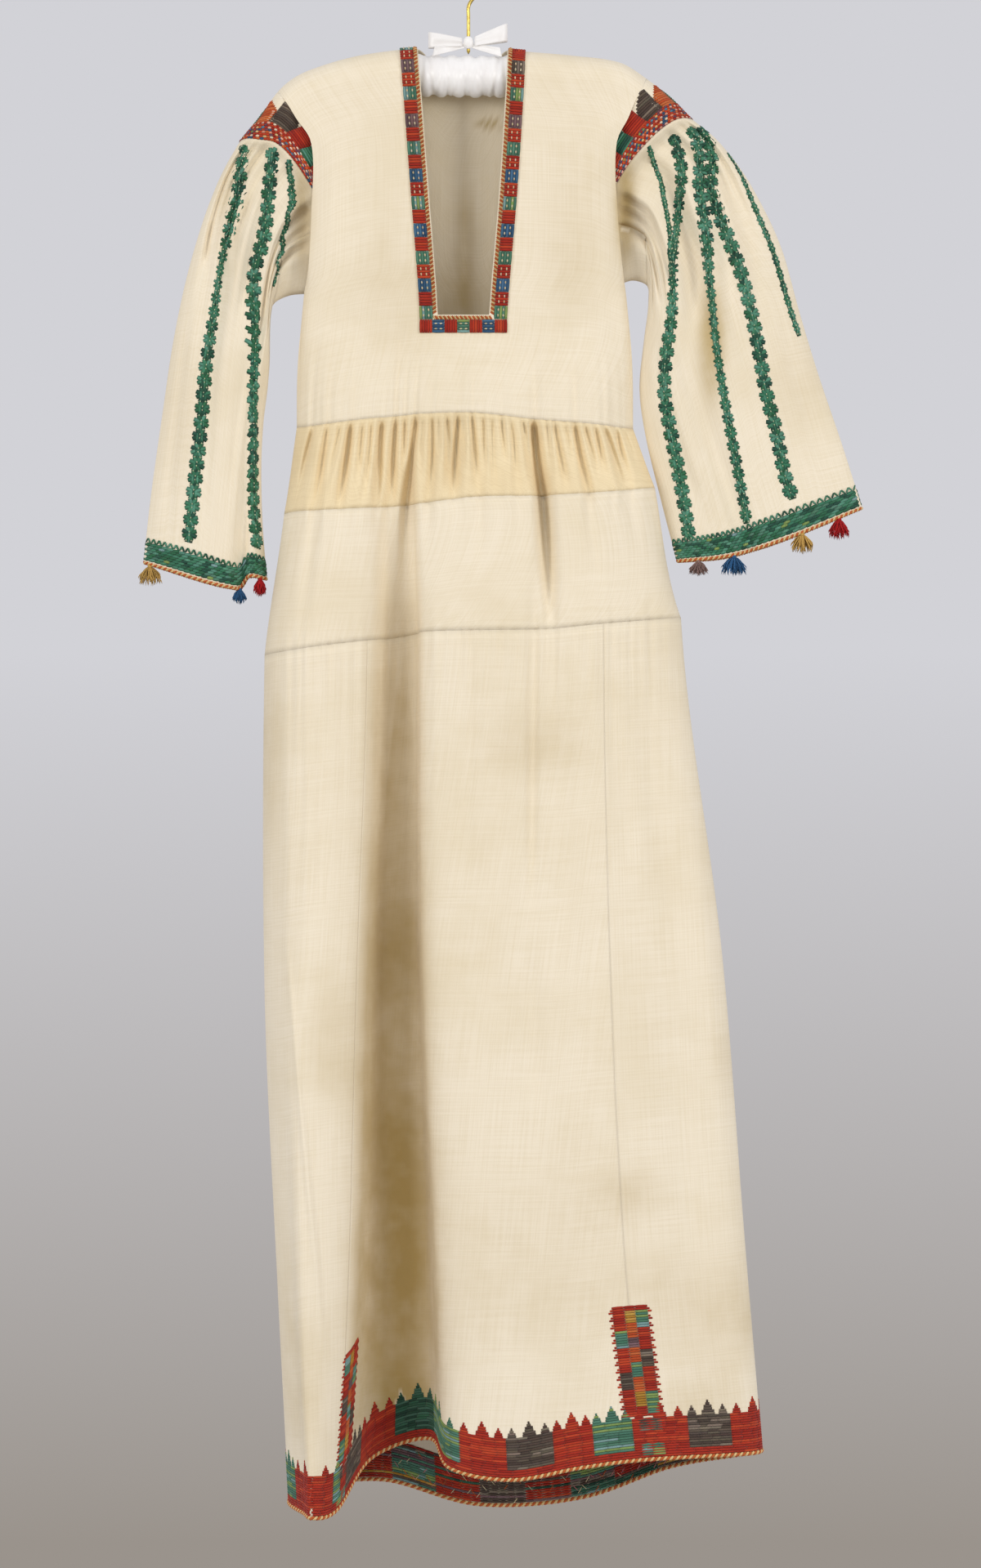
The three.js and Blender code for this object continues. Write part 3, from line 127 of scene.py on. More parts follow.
BACK_CREASES = (
    (-139, 4, 2.2, 0.9), (-130, 4.5, 2.4, 1.1), (-118, 5, 2.4, 1.2), (-104, 4, 2.2, 0.8),
    (-93, 6, 2.6, 1.3), (-80, 4.5, 2.2, 0.9), (-70, 5, 2.4, 1.0), (-62, 9, 3, 1.8),
    (-50, 4, 2.2, 0.8), (-41, 5.5, 2.4, 1.1), (-28, 4, 2.2, 0.9), (-17, 7, 2.6, 1.25),
    (-6, 4, 2.2, 0.8), (6, 5, 2.4, 1.1), (18, 4.5, 2.2, 0.9), (29, 4, 2.2, 1.0),
    (40, 11, 3.2, 2.2), (52, 4.5, 2.2, 0.9), (63, 6, 2.6, 1.2), (76, 4, 2.2, 0.8),
    (86, 5, 2.4, 1.1), (97, 6.5, 2.6, 1.3), (109, 4, 2.2, 0.9), (120, 4.5, 2.4, 1.0),
    (131, 5, 2.4, 1.1), (141, 3.5, 2.2, 0.8))
BACK_GATHERS = (
    (-136, 4, 6, 1.6), (-112, 5, 7, 2), (-87, 4, 6.5, 1.4), (-62, 9, 8, 2.5), (-36, 4, 6.5, 1.5),
    (-12, 5, 7, 1.8), (13, 4, 6.5, 1.3), (40, 16, 11, 2.8), (68, 4, 6.5, 1.5), (92, 5.5, 7, 2.1),
    (115, 4, 6, 1.4), (134, 3.5, 5.5, 1.7))

SHOULDERS = {  # topX, tipX and tip's drop of the lines at the leaves' feet and at the armhole
    "left": {"top": 121.45, "middle": (-197.5, -140.8, 101), "outer": (-210.3, -141.4, 113)},
    "right": {"top": 109.5, "middle": (192, 133.4, 102), "outer": (205.8, 134.4, 115)}}
# Sleeves: share, outer fold x and down, inner fold x and down, depth.
SLEEVES = {
    "left": SimpleNamespace(
        folds=np.array([
            (0, -210.3, 168.4, -147, 307, 21), (0.06, -222, 189, -165, 309, 26),
            (0.11, -231, 208, -179, 317, 28), (0.2, -244, 242, -184.5, 340, 28),
            (0.35, -259, 294, -183.5, 385, 25), (0.5, -271, 352, -188, 425, 23),
            (0.65, -280, 412, -190, 465, 22), (0.82, -291, 490, -189, 515, 21),
            (1, -298, 553, -185, 568, 20)], float),
        cuff=np.array([(0, -298, 553), (0.7, -212, 577), (0.8, -202, 566), (1, -185, 568)], float),
        gathers=((0.22, 4, 0.05, 0.5), (0.36, 6, 0.05, 0.8), (0.5, 4, 0.045, 0.45),
                 (0.63, 5, 0.05, 0.7), (1.3, 4, 0.05, 0.6), (1.45, 6, 0.05, 0.85),
                 (1.6, 4, 0.05, 0.5), (1.76, 5, 0.05, 0.7), (0.29, 2, 0.02, 0.35),
                 (0.43, 2.2, 0.022, 0.3), (0.57, 2, 0.02, 0.4), (1.37, 2, 0.02, 0.3),
                 (1.53, 2.2, 0.022, 0.4), (1.68, 2, 0.02, 0.35),
                 (0.17, 6.8, 0.026, 0.42), (0.25, 6.1, 0.026, 0.3), (0.32, 8.2, 0.026, 0.5),
                 (0.4, 6.5, 0.026, 0.35), (0.47, 8.5, 0.026, 0.55), (0.54, 6.5, 0.026, 0.32),
                 (0.61, 7.8, 0.026, 0.5), (0.7, 6.8, 0.026, 0.36), (0.78, 6.8, 0.026, 0.4)),
        creases=((0.74, 11, 0.07, 0.5), (1.36, 8, 0.06, 0.4)),
        folds_by_hand=(
            (15, 76, 20, 132, 3.5, 2.6), (42, 44, 36, 120, 5, 2.8), (75, 20, 83, 64, 4, 2.6),
            (30, 60, 44, 380, 3, 5), (52, 40, 60, 350, 3.5, 4.5), (22, 30, 26, 240, 2, 3.5),
            (66, 30, 70, 330, 2.6, 4), (12, 150, 16, 390, 2, 5), (88, 120, 90, 330, 2, 4),
            (140, 30, 150, 300, 3.5, 4), (165, 30, 160, 360, 3, 4.5), (120, 60, 118, 330, 2.5, 4))),
    "right": SimpleNamespace(
        folds=np.array([
            (0, 205.8, 147.6, 139.6, 298, 21), (0.06, 226, 164, 152, 295, 27),
            (0.11, 240, 180, 164, 300, 31), (0.2, 259, 207, 165, 318, 33),
            (0.35, 286, 262, 161, 350, 31), (0.5, 304, 325, 157, 395, 28),
            (0.65, 321, 381, 163, 440, 25), (0.82, 343, 446, 177, 498, 22),
            (1, 361, 503, 191, 552, 20)], float),
        cuff=np.array([(0, 361, 503), (0.33, 292, 531), (0.66, 240, 547), (1, 191, 552)], float),
        gathers=((0.2, 5, 0.05, 0.7), (0.34, 6, 0.05, 0.5), (0.48, 9, 0.055, 0.6),
                 (0.62, 6, 0.05, 0.55), (0.75, 5, 0.045, 0.4), (1.28, 5, 0.05, 0.6),
                 (1.43, 8, 0.05, 0.8), (1.58, 5, 0.05, 0.5), (1.74, 5, 0.05, 0.65),
                 (0.27, 2, 0.02, 0.35), (0.41, 2.4, 0.022, 0.3), (0.55, 2.2, 0.02, 0.4),
                 (0.69, 2, 0.02, 0.3), (1.36, 2, 0.02, 0.3), (1.51, 2.2, 0.022, 0.4),
                 (0.16, 6.8, 0.026, 0.4), (0.23, 6.5, 0.026, 0.32), (0.31, 8.5, 0.026, 0.5),
                 (0.38, 6.8, 0.026, 0.36), (0.45, 9.2, 0.026, 0.6), (0.52, 6.8, 0.026, 0.34),
                 (0.59, 8.2, 0.026, 0.48), (0.66, 6.8, 0.026, 0.38), (0.73, 7.5, 0.026, 0.42)),
        creases=((0.55, 7, 0.06, 0.5), (1.5, 8, 0.06, 0.45)),
        folds_by_hand=(
            (47, 20, 50, 210, 11, 3.4), (60, 24, 70, 180, 4, 2.8), (36, 30, 32, 260, 4, 3.2),
            (76, 30, 88, 150, 4, 2.8), (24, 40, 20, 200, 3, 3), (54, 120, 56, 380, 4, 5),
            (28, 160, 26, 390, 2.5, 5), (80, 150, 76, 370, 3, 4.5), (66, 150, 66, 330, 2, 4),
            (12, 120, 10, 380, 2, 4), (140, 30, 146, 300, 3.5, 4), (162, 30, 166, 330, 4, 4),
            (120, 60, 122, 340, 3, 4)))}
TASSELS = (  # node, sleeve, turn on the cuff, length, half width, colour, and its slot
    ("tassel_left_yellow", "left", 0.05, 19, 11, "C9A257", "wool_yellow"),
    ("tassel_left_blue", "left", 0.72, 14, 6.5, "2E5F8C", "wool_blue"),
    ("tassel_left_red", "left", 0.93, 17, 6, "B3161A", "wool_red"),
    ("tassel_right_mauve", "right", 0.86, 14, 9, "8A6F68", "wool_mauve"),
    ("tassel_right_blue", "right", 0.64, 19, 12, "2E5F8C", "wool_blue"),
    ("tassel_right_yellow", "right", 0.26, 19, 11, "C9A257", "wool_yellow"),
    ("tassel_right_red", "right", 0.1, 20, 10, "B3161A", "wool_red"))

WIRE = 3.2
STEM_FOOT = 87.5
BOW_KNOT = 5
BOW_DOWN = 77
BOW_Y = -5.65
PAD_RADIUS = 19.4
PAD_ENDS = (-178, 172)

chance = np.random.default_rng(7)

# ---------------------------------------------------------------- small helpers


def mix(a, b, t):
    return a + (b - a) * t


def ease(t):
    t = np.clip(t, 0, 1)
    return t * t * (3 - 2 * t)


def unit(vectors):
    return vectors / np.maximum(np.linalg.norm(vectors, axis=-1, keepdims=True), 1e-9)


def through(table, column, key=0):
    """A smooth curve through one column of a table, level beyond its ends. Between two rows it is
    an eased blend plus a bend from the slopes, which come from the rows on either side."""
    at, value = table[:, key], table[:, column]
    last = len(at) - 1
    after, before = np.minimum(np.arange(last + 1) + 1, last), np.maximum(np.arange(last + 1) - 1, 0)
    slope = (value[after] - value[before]) / (at[after] - at[before])

    def curve(x):
        x = np.clip(x, at[0], at[-1])
        k = np.clip(np.searchsorted(at, x, side="right") - 1, 0, last - 1)
        span = at[k + 1] - at[k]
        t = (x - at[k]) / span
        bend = span * t * (1 - t) * (slope[k] * (1 - t) - slope[k + 1] * t)
        return mix(value[k], value[k + 1], ease(t)) + bend
    return curve


def spot(x, y, down):
    return np.stack(np.broadcast_arrays(x, y, -np.asarray(down, float)), axis=-1)


shoulder_line = through(SHOULDER_LINE, 1)
edge = {"left": through(BODICE_EDGES, 1), "right": through(BODICE_EDGES, 2)}
neck = {"left": through(NECK_EDGES, 1), "right": through(NECK_EDGES, 2)}


def over_hanger(drop):
    """A quarter round over the hanger, then straight down."""
    share = np.clip(drop / CHEST_RADIUS, 0, 1)
    return CHEST_RADIUS * np.sqrt(1 - (1 - share) ** 2)


def armhole_open(down, underarm):
    """The armhole's depth share: 1 above the underarm, closing to 0 as a quarter round."""
    share = np.clip((down - underarm + UNDERARM_ROUND) / UNDERARM_ROUND, 0, 1)
    return np.sqrt(1 - share ** 2)


def chest_depth(round_depth, down):
    """The chest's round above the neck's foot, easing into the waist seam's depth below it."""
    return mix(round_depth, TRUNK[0, 8], ease((down - NECK_BOTTOM) / (CHEST_FLAT - NECK_BOTTOM)))


def side_round(x, down):
    """The depth share near the bodice's edges: a quarter round that starts from the armhole's."""
    from_left, from_right = x - edge["left"](down), edge["right"](down) - x
    underarm = np.where(from_left < from_right, UNDERARM["left"], UNDERARM["right"])
    inward = np.clip(np.minimum(from_left, from_right) / SIDE_ROUND, 0, 1)
    return mix(armhole_open(down, underarm), 1, np.sqrt(1 - (1 - inward) ** 2))


# ---------------------------------------------------------------- listed folds

# Soft troughs (+) and ridges (-): x and down of both ends, depth, width.
FRONT_FOLDS = (
    (60, 520, 57, 900, 5, 5), (57, 900, 63, 1060, 2, 7), (36, 640, 20, 1020, 2.2, 11),
    (8, 650, -8, 860, 1.8, 8), (96, 640, 118, 1010, 2.4, 12), (122, 615, 150, 860, 2, 10),
    (150, 640, 196, 960, 2.6, 14), (80, 830, 92, 1240, -1.8, 16), (0, 900, 6, 1300, -1.5, 18),
    (176, 900, 214, 1280, 2.2, 16), (30, 1120, 44, 1330, 1.4, 12), (206, 760, 238, 1120, -1.6, 12),
    (-150, 690, -160, 980, 2, 8), (-132, 640, -136, 900, 1.6, 6), (-172, 700, -176, 1000, 1.4, 7),
    (-178, 1175, -172, 1178, 1.2, 3), (-172, 1168, -150, 1176, 1.6, 2.4),
    (-168, 1184, -152, 1182, 1.0, 2.2), (-170, 860, -128, 1300, -2.6, 3.2),
    (-120, 150, -124, 400, 1.2, 9), (-92, 130, -96, 410, 1.0, 8), (-70, 100, -74, 330, 1.1, 7),
    (70, 100, 76, 400, 1.1, 9), (104, 120, 112, 410, 1.3, 9), (-108, 300, -104, 424, 1.5, 5),
    (-62, 330, -66, 424, 1.6, 5), (-30, 362, -32, 424, 1.2, 4), (24, 366, 26, 424, 1.4, 4),
    (50, 340, 58, 424, 2.0, 5), (88, 330, 94, 424, 1.6, 5), (124, 340, 120, 426, 1.4, 5))
BACK_FOLDS = (
    (40, 520, 44, 980, 5, 7), (-62, 530, -70, 900, 2.4, 8), (-20, 640, -14, 1000, 2, 10),
    (84, 640, 110, 1040, 2.4, 12), (-120, 640, -138, 960, 2, 9), (140, 640, 190, 1000, 2.6, 14),
    (0, 950, 10, 1320, -1.8, 18), (170, 900, 210, 1280, 2.2, 16), (-100, 980, -104, 1330, -1.6, 14),
    (-110, 160, -116, 400, 1.2, 9), (-60, 150, -56, 410, 1.1, 8), (60, 150, 66, 400, 1.2, 9),
    (108, 130, 112, 410, 1.3, 9), (-84, 330, -88, 424, 1.6, 5), (-12, 340, -14, 424, 1.6, 5),
    (34, 330, 40, 424, 1.8, 5), (92, 336, 96, 424, 1.4, 5), (-3, 190, -4, 330, 3.2, 7))


def folded(x, down, folds):
    """The depth of all folds at a place: each is a round trough about its own line, which fades
    out over the last third towards both ends."""
    depth = np.zeros(np.broadcast(x, down).shape)
    for x0, down0, x1, down1, deep, wide in folds:
        run, fall = x1 - x0, down1 - down0
        length = run * run + fall * fall
        along = np.clip(((x - x0) * run + (down - down0) * fall) / length, 0, 1)
        away = (x - x0 - along * run) ** 2 + (down - down0 - along * fall) ** 2
        ends = ease(np.minimum(along, 1 - along) * 3.2)
        depth += deep * ends * np.exp(-away / wide ** 2)
    return depth


def pucker(x, from_seam, reach):
    """Small uneven puckers beside a seam, strongest at the stitches and gone after a reach."""
    wave = np.sin(x / 1.55 + 1.7 * np.sin(x / 11.3)) + 0.7 * np.sin(x / 2.35 + 2.1 * np.sin(x / 17.0))
    return wave * np.exp(-np.abs(from_seam) / reach)


# ---------------------------------------------------------------- the trunk

# How each kind of gather runs down from the waist seam, whose levels count from 0: its depth, its
# share of depth at the seam, the level where it is whole, the share of its run that it holds, how
# far it sways and how much it widens in one level.
GATHER = {"depth": 1, "foot": 0.25, "rise": 0.3, "hold": 0.45, "sway": 0, "widen": 0}
CREASE = {"depth": 1.5, "foot": 0.2, "rise": 0.12, "hold": 0.35, "sway": 1.5, "widen": 0.5}
SKIRT_FLARE = 0.12  # how far the gathers spread outwards in one level
SEAM_PUCKER, SEAM_GROOVE = 0.55, 0.4

SHARE = np.array([place[2] for place in PLACES])
START = np.array([SECTION.index(place[0]) for place in PLACES])
END = np.array([SECTION.index(place[1]) for place in PLACES])
DEPTHS = np.array([place[3:] for place in PLACES], float)
DEPTH_COLUMNS = [SECTION.index(name) for name in ("pleat", "floor", "panel", "back")]


def gathered(x, level, rows, depth, foot, rise, hold, sway, widen):
    """The depth of all gathers of one kind: each is a round trough about a line that leans out
    with the skirt's flare, rising from the seam and fading out towards its end."""
    sunk = np.zeros(x.shape)
    for middle, deep, wide, end in rows:
        strength = mix(foot, 1, ease(level / rise)) * (1 - ease((level / end - hold) / (1 - hold)))
        bent = middle * (1 + SKIRT_FLARE * level) + sway * np.sin(middle + 3 * level)
        sunk += depth * deep * strength * np.exp(-((x - bent) / (wide * (1 + widen * level))) ** 2)
    return sunk


def trunk_point(station, level):
    """A place on the trunk. Its x and y follow a closed smooth curve through the eighteen points
    of the level's section, its height lies between the seams above and below, and the gathers,
    folds and puckers take their depth out of the front or the back."""
    station, level = np.broadcast_arrays(np.asarray(station, float), np.asarray(level, float))
    shape = station.shape
    s, lv = station.ravel(), level.ravel()
    columns = np.array([through(TRUNK, k + 1)(lv) for k in range(len(SECTION))])
    first = np.floor(s).astype(int)
    t = s - first
    weights = ((-t + 2 * t**2 - t**3) / 2, (2 - 5 * t**2 + 3 * t**3) / 2,
               (t + 4 * t**2 - 3 * t**3) / 2, (-t**2 + t**3) / 2)
    part = np.clip(np.floor(lv), 0, 2).astype(int)
    pick = np.arange(s.size)
    x, y, down = np.zeros(s.size), np.zeros(s.size), np.zeros(s.size)
    for offset, weight in enumerate(weights):
        k = (first - 1 + offset) % ROUND
        x += weight * mix(columns[START[k], pick], columns[END[k], pick], SHARE[k])
        for j, column in enumerate(DEPTH_COLUMNS):
            y += weight * DEPTHS[k, j] * columns[column, pick]
        down += weight * mix(SEAMS[k, part], SEAMS[k, part + 1], lv - part)
    turned = s % ROUND
    front = turned < RIGHT_SIDE
    along = np.where(front, turned / RIGHT_SIDE, (turned - RIGHT_SIDE) / (ROUND - RIGHT_SIDE))
    calm = ease(np.sin(np.pi * along) * 2.5)
    depth = np.zeros(s.size)
    for at_front, gathers, creases, folds in ((True, FRONT_GATHERS, FRONT_CREASES, FRONT_FOLDS),
                                              (False, BACK_GATHERS, BACK_CREASES, BACK_FOLDS)):
        here = front == at_front
        xs, ls = x[here], np.maximum(lv[here], 0)
        sunk = folded(xs, down[here], folds)
        sunk += gathered(xs, ls, gathers, **GATHER) + gathered(xs, ls, creases, **CREASE)
        for seam in (0, 1, 2):
            below = (ls - seam) * 100
            sunk += SEAM_PUCKER * pucker(xs, below, 12) + SEAM_GROOVE * np.exp(-(below / 2.2) ** 2)
        depth[here] = sunk
    y += np.where(front, 1, -1) * depth * calm
    return spot(x, y, down).reshape(shape + (3,))


# ---------------------------------------------------------------- the bodice


def bodice_front_point(station, row):
    """Rows 0 to 1 run from the shoulder line to the foot of the neck opening, rows 1 to 2 on to
    the waist seam. x is shared out between the bodice's edges and the neck's, y is the round over
    the hanger, and both blend into the waist seam below."""
    station, row = np.broadcast_arrays(np.asarray(station, float), np.asarray(row, float))
    waist = trunk_point(station, 0)
    at = trunk_point(np.array([0, NECK_STATIONS[0], NECK_STATIONS[1], RIGHT_SIDE]), 0)[:, 0]
    side = np.digitize(station, NECK_STATIONS)
    share = (waist[..., 0] - at[side]) / (at[side + 1] - at[side])

    def x_at(down):
        lines = np.stack([edge["left"](down), neck["left"](down), neck["right"](down),
                          edge["right"](down)])
        low = np.take_along_axis(lines, side[None], 0)[0]
        high = np.take_along_axis(lines, side[None] + 1, 0)[0]
        return mix(low, high, share)

    upper = np.minimum(row, 1)
    top = shoulder_line(x_at(np.zeros(row.shape)))
    for _ in range(4):
        top = shoulder_line(x_at(top))
    lower = row - upper
    down = mix(mix(top, NECK_BOTTOM, upper ** 2), -waist[..., 2], lower)
    x = mix(x_at(down), waist[..., 0], ease(lower))
    y = -over_hanger(down - shoulder_line(x)) * side_round(x, down)
    y = mix(y, waist[..., 1], ease(lower)) + folded(x, down, FRONT_FOLDS) * (1 - ease(lower))
    from_left, from_right = x - edge["left"](down), edge["right"](down) - x
    rolled = ease((down - 126) / 30) * (1 - ease((down - 330) / 90))
    rolled = rolled * np.exp(-(np.minimum(from_left, from_right) / 8) ** 2)
    x = x + EDGE_REACH * rolled * np.where(from_left < from_right, -1, 1)
    return spot(x, y - EDGE_LIFT * rolled, down)


def bodice_back_point(station, row):
    """As the front, from the scooped back neckline down, and with no opening."""
    station, row = np.broadcast_arrays(np.asarray(station, float), np.asarray(row, float))
    waist = trunk_point(station, 0)
    right, left = trunk_point(np.array([RIGHT_SIDE, ROUND]), 0)[:, 0]
    share = (right - waist[..., 0]) / (right - left)
    top_x = mix(edge["right"](0 * share), edge["left"](0 * share), share)
    for _ in range(4):
        top_x = mix(edge["right"](shoulder_line(top_x)), edge["left"](shoulder_line(top_x)), share)
    from_neck = np.minimum(top_x - NECK_EDGES[0, 1], NECK_EDGES[0, 2] - top_x)
    scoop = BACK_NECK_DROP * ease(from_neck / BACK_NECK_ROUND)
    upper = np.minimum(row, 1)
    lower = row - upper
    down = mix(mix(shoulder_line(top_x) + scoop, NECK_BOTTOM, upper ** 2), -waist[..., 2], lower)
    x = mix(mix(edge["right"](down), edge["left"](down), share), waist[..., 0], ease(lower))
    y = over_hanger(down - shoulder_line(x)) * side_round(x, down)
    y = mix(y, waist[..., 1], ease(lower)) - folded(x, down, BACK_FOLDS) * (1 - ease(lower))
    yoke_seam = 0.9 * np.exp(-((down - 207) / 1.8) ** 2)
    return spot(x, y - yoke_seam, down)


def neck_strip_point(along, across):
    """The strip round the neck: along is 0 to 1 down the left edge, 1 to 2 across the foot and 2
    to 3 up the right edge, across is 0 at the opening and 1 at the outer edge."""
    along, across = np.broadcast_arrays(np.asarray(along, float), np.asarray(across, float))
    width = NECK_STRIP_WIDTH * across
    corner = NECK_BOTTOM + width
    leg = np.clip(np.where(along <= 1, along, 3 - along), 0, 1)
    tops = np.where(along < 1.5, shoulder_line(neck["left"](0.0)), shoulder_line(neck["right"](0.0)))
    down = mix(tops, corner, leg ** 2)
    left, right = neck["left"](down) - width, neck["right"](down) + width
    x = np.where(along <= 1, left, np.where(along >= 2, right, mix(left, right, along - 1)))
    return spot(x, -chest_depth(over_hanger(down - shoulder_line(x)), down) - NECK_LIFT, down)


# ---------------------------------------------------------------- shoulders and sleeves


def shoulder_seam(line):
    top_x, tip_x, tip_drop = line
    return lambda reach: (mix(top_x, tip_x, np.abs(reach) ** 1.6), tip_drop * reach ** 2)


def bodice_edge_seam(side):
    def line(reach):
        down = mix(SHOULDERS[side]["top"], NECK_BOTTOM, (reach * SHOULDER_TIP_ROW) ** 2)
        x = edge[side](down)
        return x, np.maximum(down - shoulder_line(x), 0)
    return line


def shoulder_point(line_a, line_b):
    """The lens between two lines over the shoulder: turn -1 is the back tip, 0 the shoulder line
    and 1 the front tip, across goes from the first line to the second, over the hanger's round."""
    def point(across, turn):
        ax, a_drop = line_a(np.abs(turn))
        bx, b_drop = line_b(np.abs(turn))
        x, drop = mix(ax, bx, across), mix(a_drop, b_drop, across)
        return spot(x, -np.sign(turn) * over_hanger(drop), shoulder_line(x) + drop)
    return point


def armhole_line(side):
    seam = shoulder_seam(SHOULDERS[side]["outer"])
    tip_x, tip_drop = seam(np.float64(1))
    tip_down = shoulder_line(tip_x) + tip_drop

    def line(turn):
        low = np.clip((turn - ARMHOLE_TIP) / (1 - ARMHOLE_TIP), 0, 1)
        x, drop = seam(np.clip(turn / ARMHOLE_TIP, 0, 1))
        down = mix(tip_down, UNDERARM[side], low)
        return (np.where(low > 0, mix(tip_x, edge[side](down), ease(low * 3)), x),
                np.where(low > 0, down, shoulder_line(x) + drop))
    return line


SLEEVE_LONG = 400  # from the armhole to the cuff, for the folds placed by hand


def sleeve_point(side):
    """A sleeve as a tube: turn 0 is the outer fold, 1 the inner fold, and 1 to 2 comes back
    behind. Its outline blends the armhole and cuff lines with the two folds, its depth is a
    flattened half round, and gathers and creases take troughs out of it."""
    table = SLEEVES[side]
    outer_x, outer_down, inner_x, inner_down, depth_at = (through(table.folds, k) for k in range(1, 6))
    cuff_x, cuff_down = through(table.cuff, 1), through(table.cuff, 2)
    armhole = armhole_line(side)

    def cuff(at):
        return cuff_x(at), cuff_down(at)

    def point(turn, share):
        turn, share = np.broadcast_arrays(np.asarray(turn, float), np.asarray(share, float))
        half = turn % 2
        front = half <= 1
        across = np.where(front, half, 2 - half)
        ends = [armhole(np.zeros(1)), armhole(np.ones(1)), cuff(np.zeros(1)), cuff(np.ones(1))]
        top, bottom = armhole(across), cuff(across)
        laid = []
        for k, (outer, inner) in enumerate(((outer_x, inner_x), (outer_down, inner_down))):
            flat = mix(mix(ends[0][k], ends[1][k], across), mix(ends[2][k], ends[3][k], across), share)
            laid.append(mix(top[k], bottom[k], share) + mix(outer(share), inner(share), across) - flat)
        at_armhole = over_hanger(top[1] - shoulder_line(top[0])) * armhole_open(top[1], UNDERARM[side])
        at_armhole = at_armhole * (1 - 0.6 * ease((across - ARMHOLE_TIP) / 0.12) * front)
        full = depth_at(share) * np.sin(np.pi * across) ** 0.62
        depth = mix(at_armhole, full, ease(share / 0.22))
        calm = ease(share / 0.035) * ease(np.sin(np.pi * across) * 1.6)
        sunk = folded(half * 100, share * SLEEVE_LONG, table.folds_by_hand)
        for rows, strength in ((table.gathers, lambda end: 1 - ease((share / end - 0.4) / 0.6)),
                               (table.creases, lambda start: ease((share - start) / (1 - start)))):
            for middle, deep, wide, limit in rows:
                away = np.minimum(np.abs(half - middle), 2 - np.abs(half - middle))
                sunk += deep * strength(limit) * np.exp(-(away / wide) ** 2)
        sunk += 0.5 * pucker(half * 110, share * SLEEVE_LONG, 14)
        sunk += 0.4 * pucker(half * 110, (1 - share) * SLEEVE_LONG, 12)
        y = np.where(front, -1, 1) * np.maximum(depth - sunk * calm, 0)
        return spot(laid[0], y, laid[1])
    return point


SLEEVE_POINTS = {side: sleeve_point(side) for side in ("left", "right")}


# ---------------------------------------------------------------- grids and meshes


def laid_out(point, us, vs, closed=False):
    """A grid of places over all us and vs, with the unit normal at each from the differences
    between its neighbours, and the distance along and down the cloth for the weave. Seen from
    outside, u runs right and v runs down. A closed grid repeats its first column at the end."""
    us, vs = np.asarray(us, float), np.asarray(vs, float)
    place = point(us[:, None], vs[None, :])
    if closed:
        ring = np.concatenate([place[-2:-1], place, place[1:2]])
        across = (ring[2:] - ring[:-2])
    else:
        across = np.gradient(place, axis=0)
    normal = unit(np.cross(np.gradient(place, axis=1), across))
    steps_u = np.linalg.norm(np.diff(place, axis=0), axis=-1)
    steps_v = np.linalg.norm(np.diff(place, axis=1), axis=-1)
    u_length = np.concatenate([np.zeros((1, len(vs))), np.cumsum(steps_u, axis=0)])
    v_length = np.concatenate([np.zeros((len(us), 1)), np.cumsum(steps_v, axis=1)], axis=1)
    return SimpleNamespace(us=us, vs=vs, place=place, normal=normal, closed=closed,
                           uv=np.stack([u_length, -v_length], axis=-1) * MM)


def mesh_object(name, places, faces, material, uv=None, stain_and_shade=None, colours=None):
    """Puts whole arrays into one mesh: places in millimetres, quads as rows of four indices, the
    weave's place at each corner, and at each point its stain and painted shade, or its yarn's colour."""
    mesh = bpy.data.meshes.new(name)
    mesh.vertices.add(len(places))
    mesh.vertices.foreach_set("co", (places * MM).astype(np.float32).ravel())
    mesh.loops.add(faces.size)
    mesh.loops.foreach_set("vertex_index", faces.astype(np.int32).ravel())
    mesh.polygons.add(len(faces))
    mesh.polygons.foreach_set("loop_start", np.arange(0, faces.size, faces.shape[1], dtype=np.int32))
    mesh.polygons.foreach_set("use_smooth", np.ones(len(faces), bool))
    mesh.update(calc_edges=True)
    if uv is not None:
        layer = mesh.uv_layers.new(name="weave")
        layer.data.foreach_set("uv", uv.astype(np.float32).ravel())
    if stain_and_shade is not None:
        stain_and_shade_amount = mesh.attributes.new("stain_and_shade", "FLOAT", "POINT")
        stain_and_shade_amount.data.foreach_set("value", stain_and_shade.astype(np.float32))
    if colours is not None:
        rgba = np.concatenate([colours, np.ones((len(colours), 1))], axis=1)
        thread = mesh.attributes.new("thread", "FLOAT_COLOR", "POINT")
        thread.data.foreach_set("color", rgba.astype(np.float32).ravel())
    mesh.validate()
    mesh.materials.append(material)
    made = bpy.data.objects.new(name, mesh)
    bpy.context.scene.collection.objects.link(made)
    return made


def grid_faces(columns, rows, closed, keep=None):
    """The quads of a grid as index pairs, and the corners' columns before a closed grid wraps."""
    count = columns - 1
    i, j = np.meshgrid(np.arange(count), np.arange(rows - 1), indexing="ij")
    if keep is not None:
        i, j = i[keep], j[keep]
    i, j = i.ravel(), j.ravel()
    ci = np.stack([i, i, i + 1, i + 1], axis=1)
    cj = np.stack([j, j + 1, j + 1, j], axis=1)
    around = ci % count if closed else ci
    return around * rows + cj, ci * rows + cj


def from_grid(name, grid, material, keep=None, marks=None):
    """A mesh of a grid's quads, without the points that no kept quad uses. marks gives the
    strength of the stains and of the painted shade at each place."""
    faces, corners = grid_faces(*grid.place.shape[:2], grid.closed, keep)
    places = (grid.place[:-1] if grid.closed else grid.place).reshape(-1, 3)
    used, renumbered = np.unique(faces, return_inverse=True)
    places = places[used]
    return mesh_object(name, places, renumbered.reshape(faces.shape), material,
                       grid.uv.reshape(-1, 2)[corners].reshape(-1, 2), marks and marks(places))


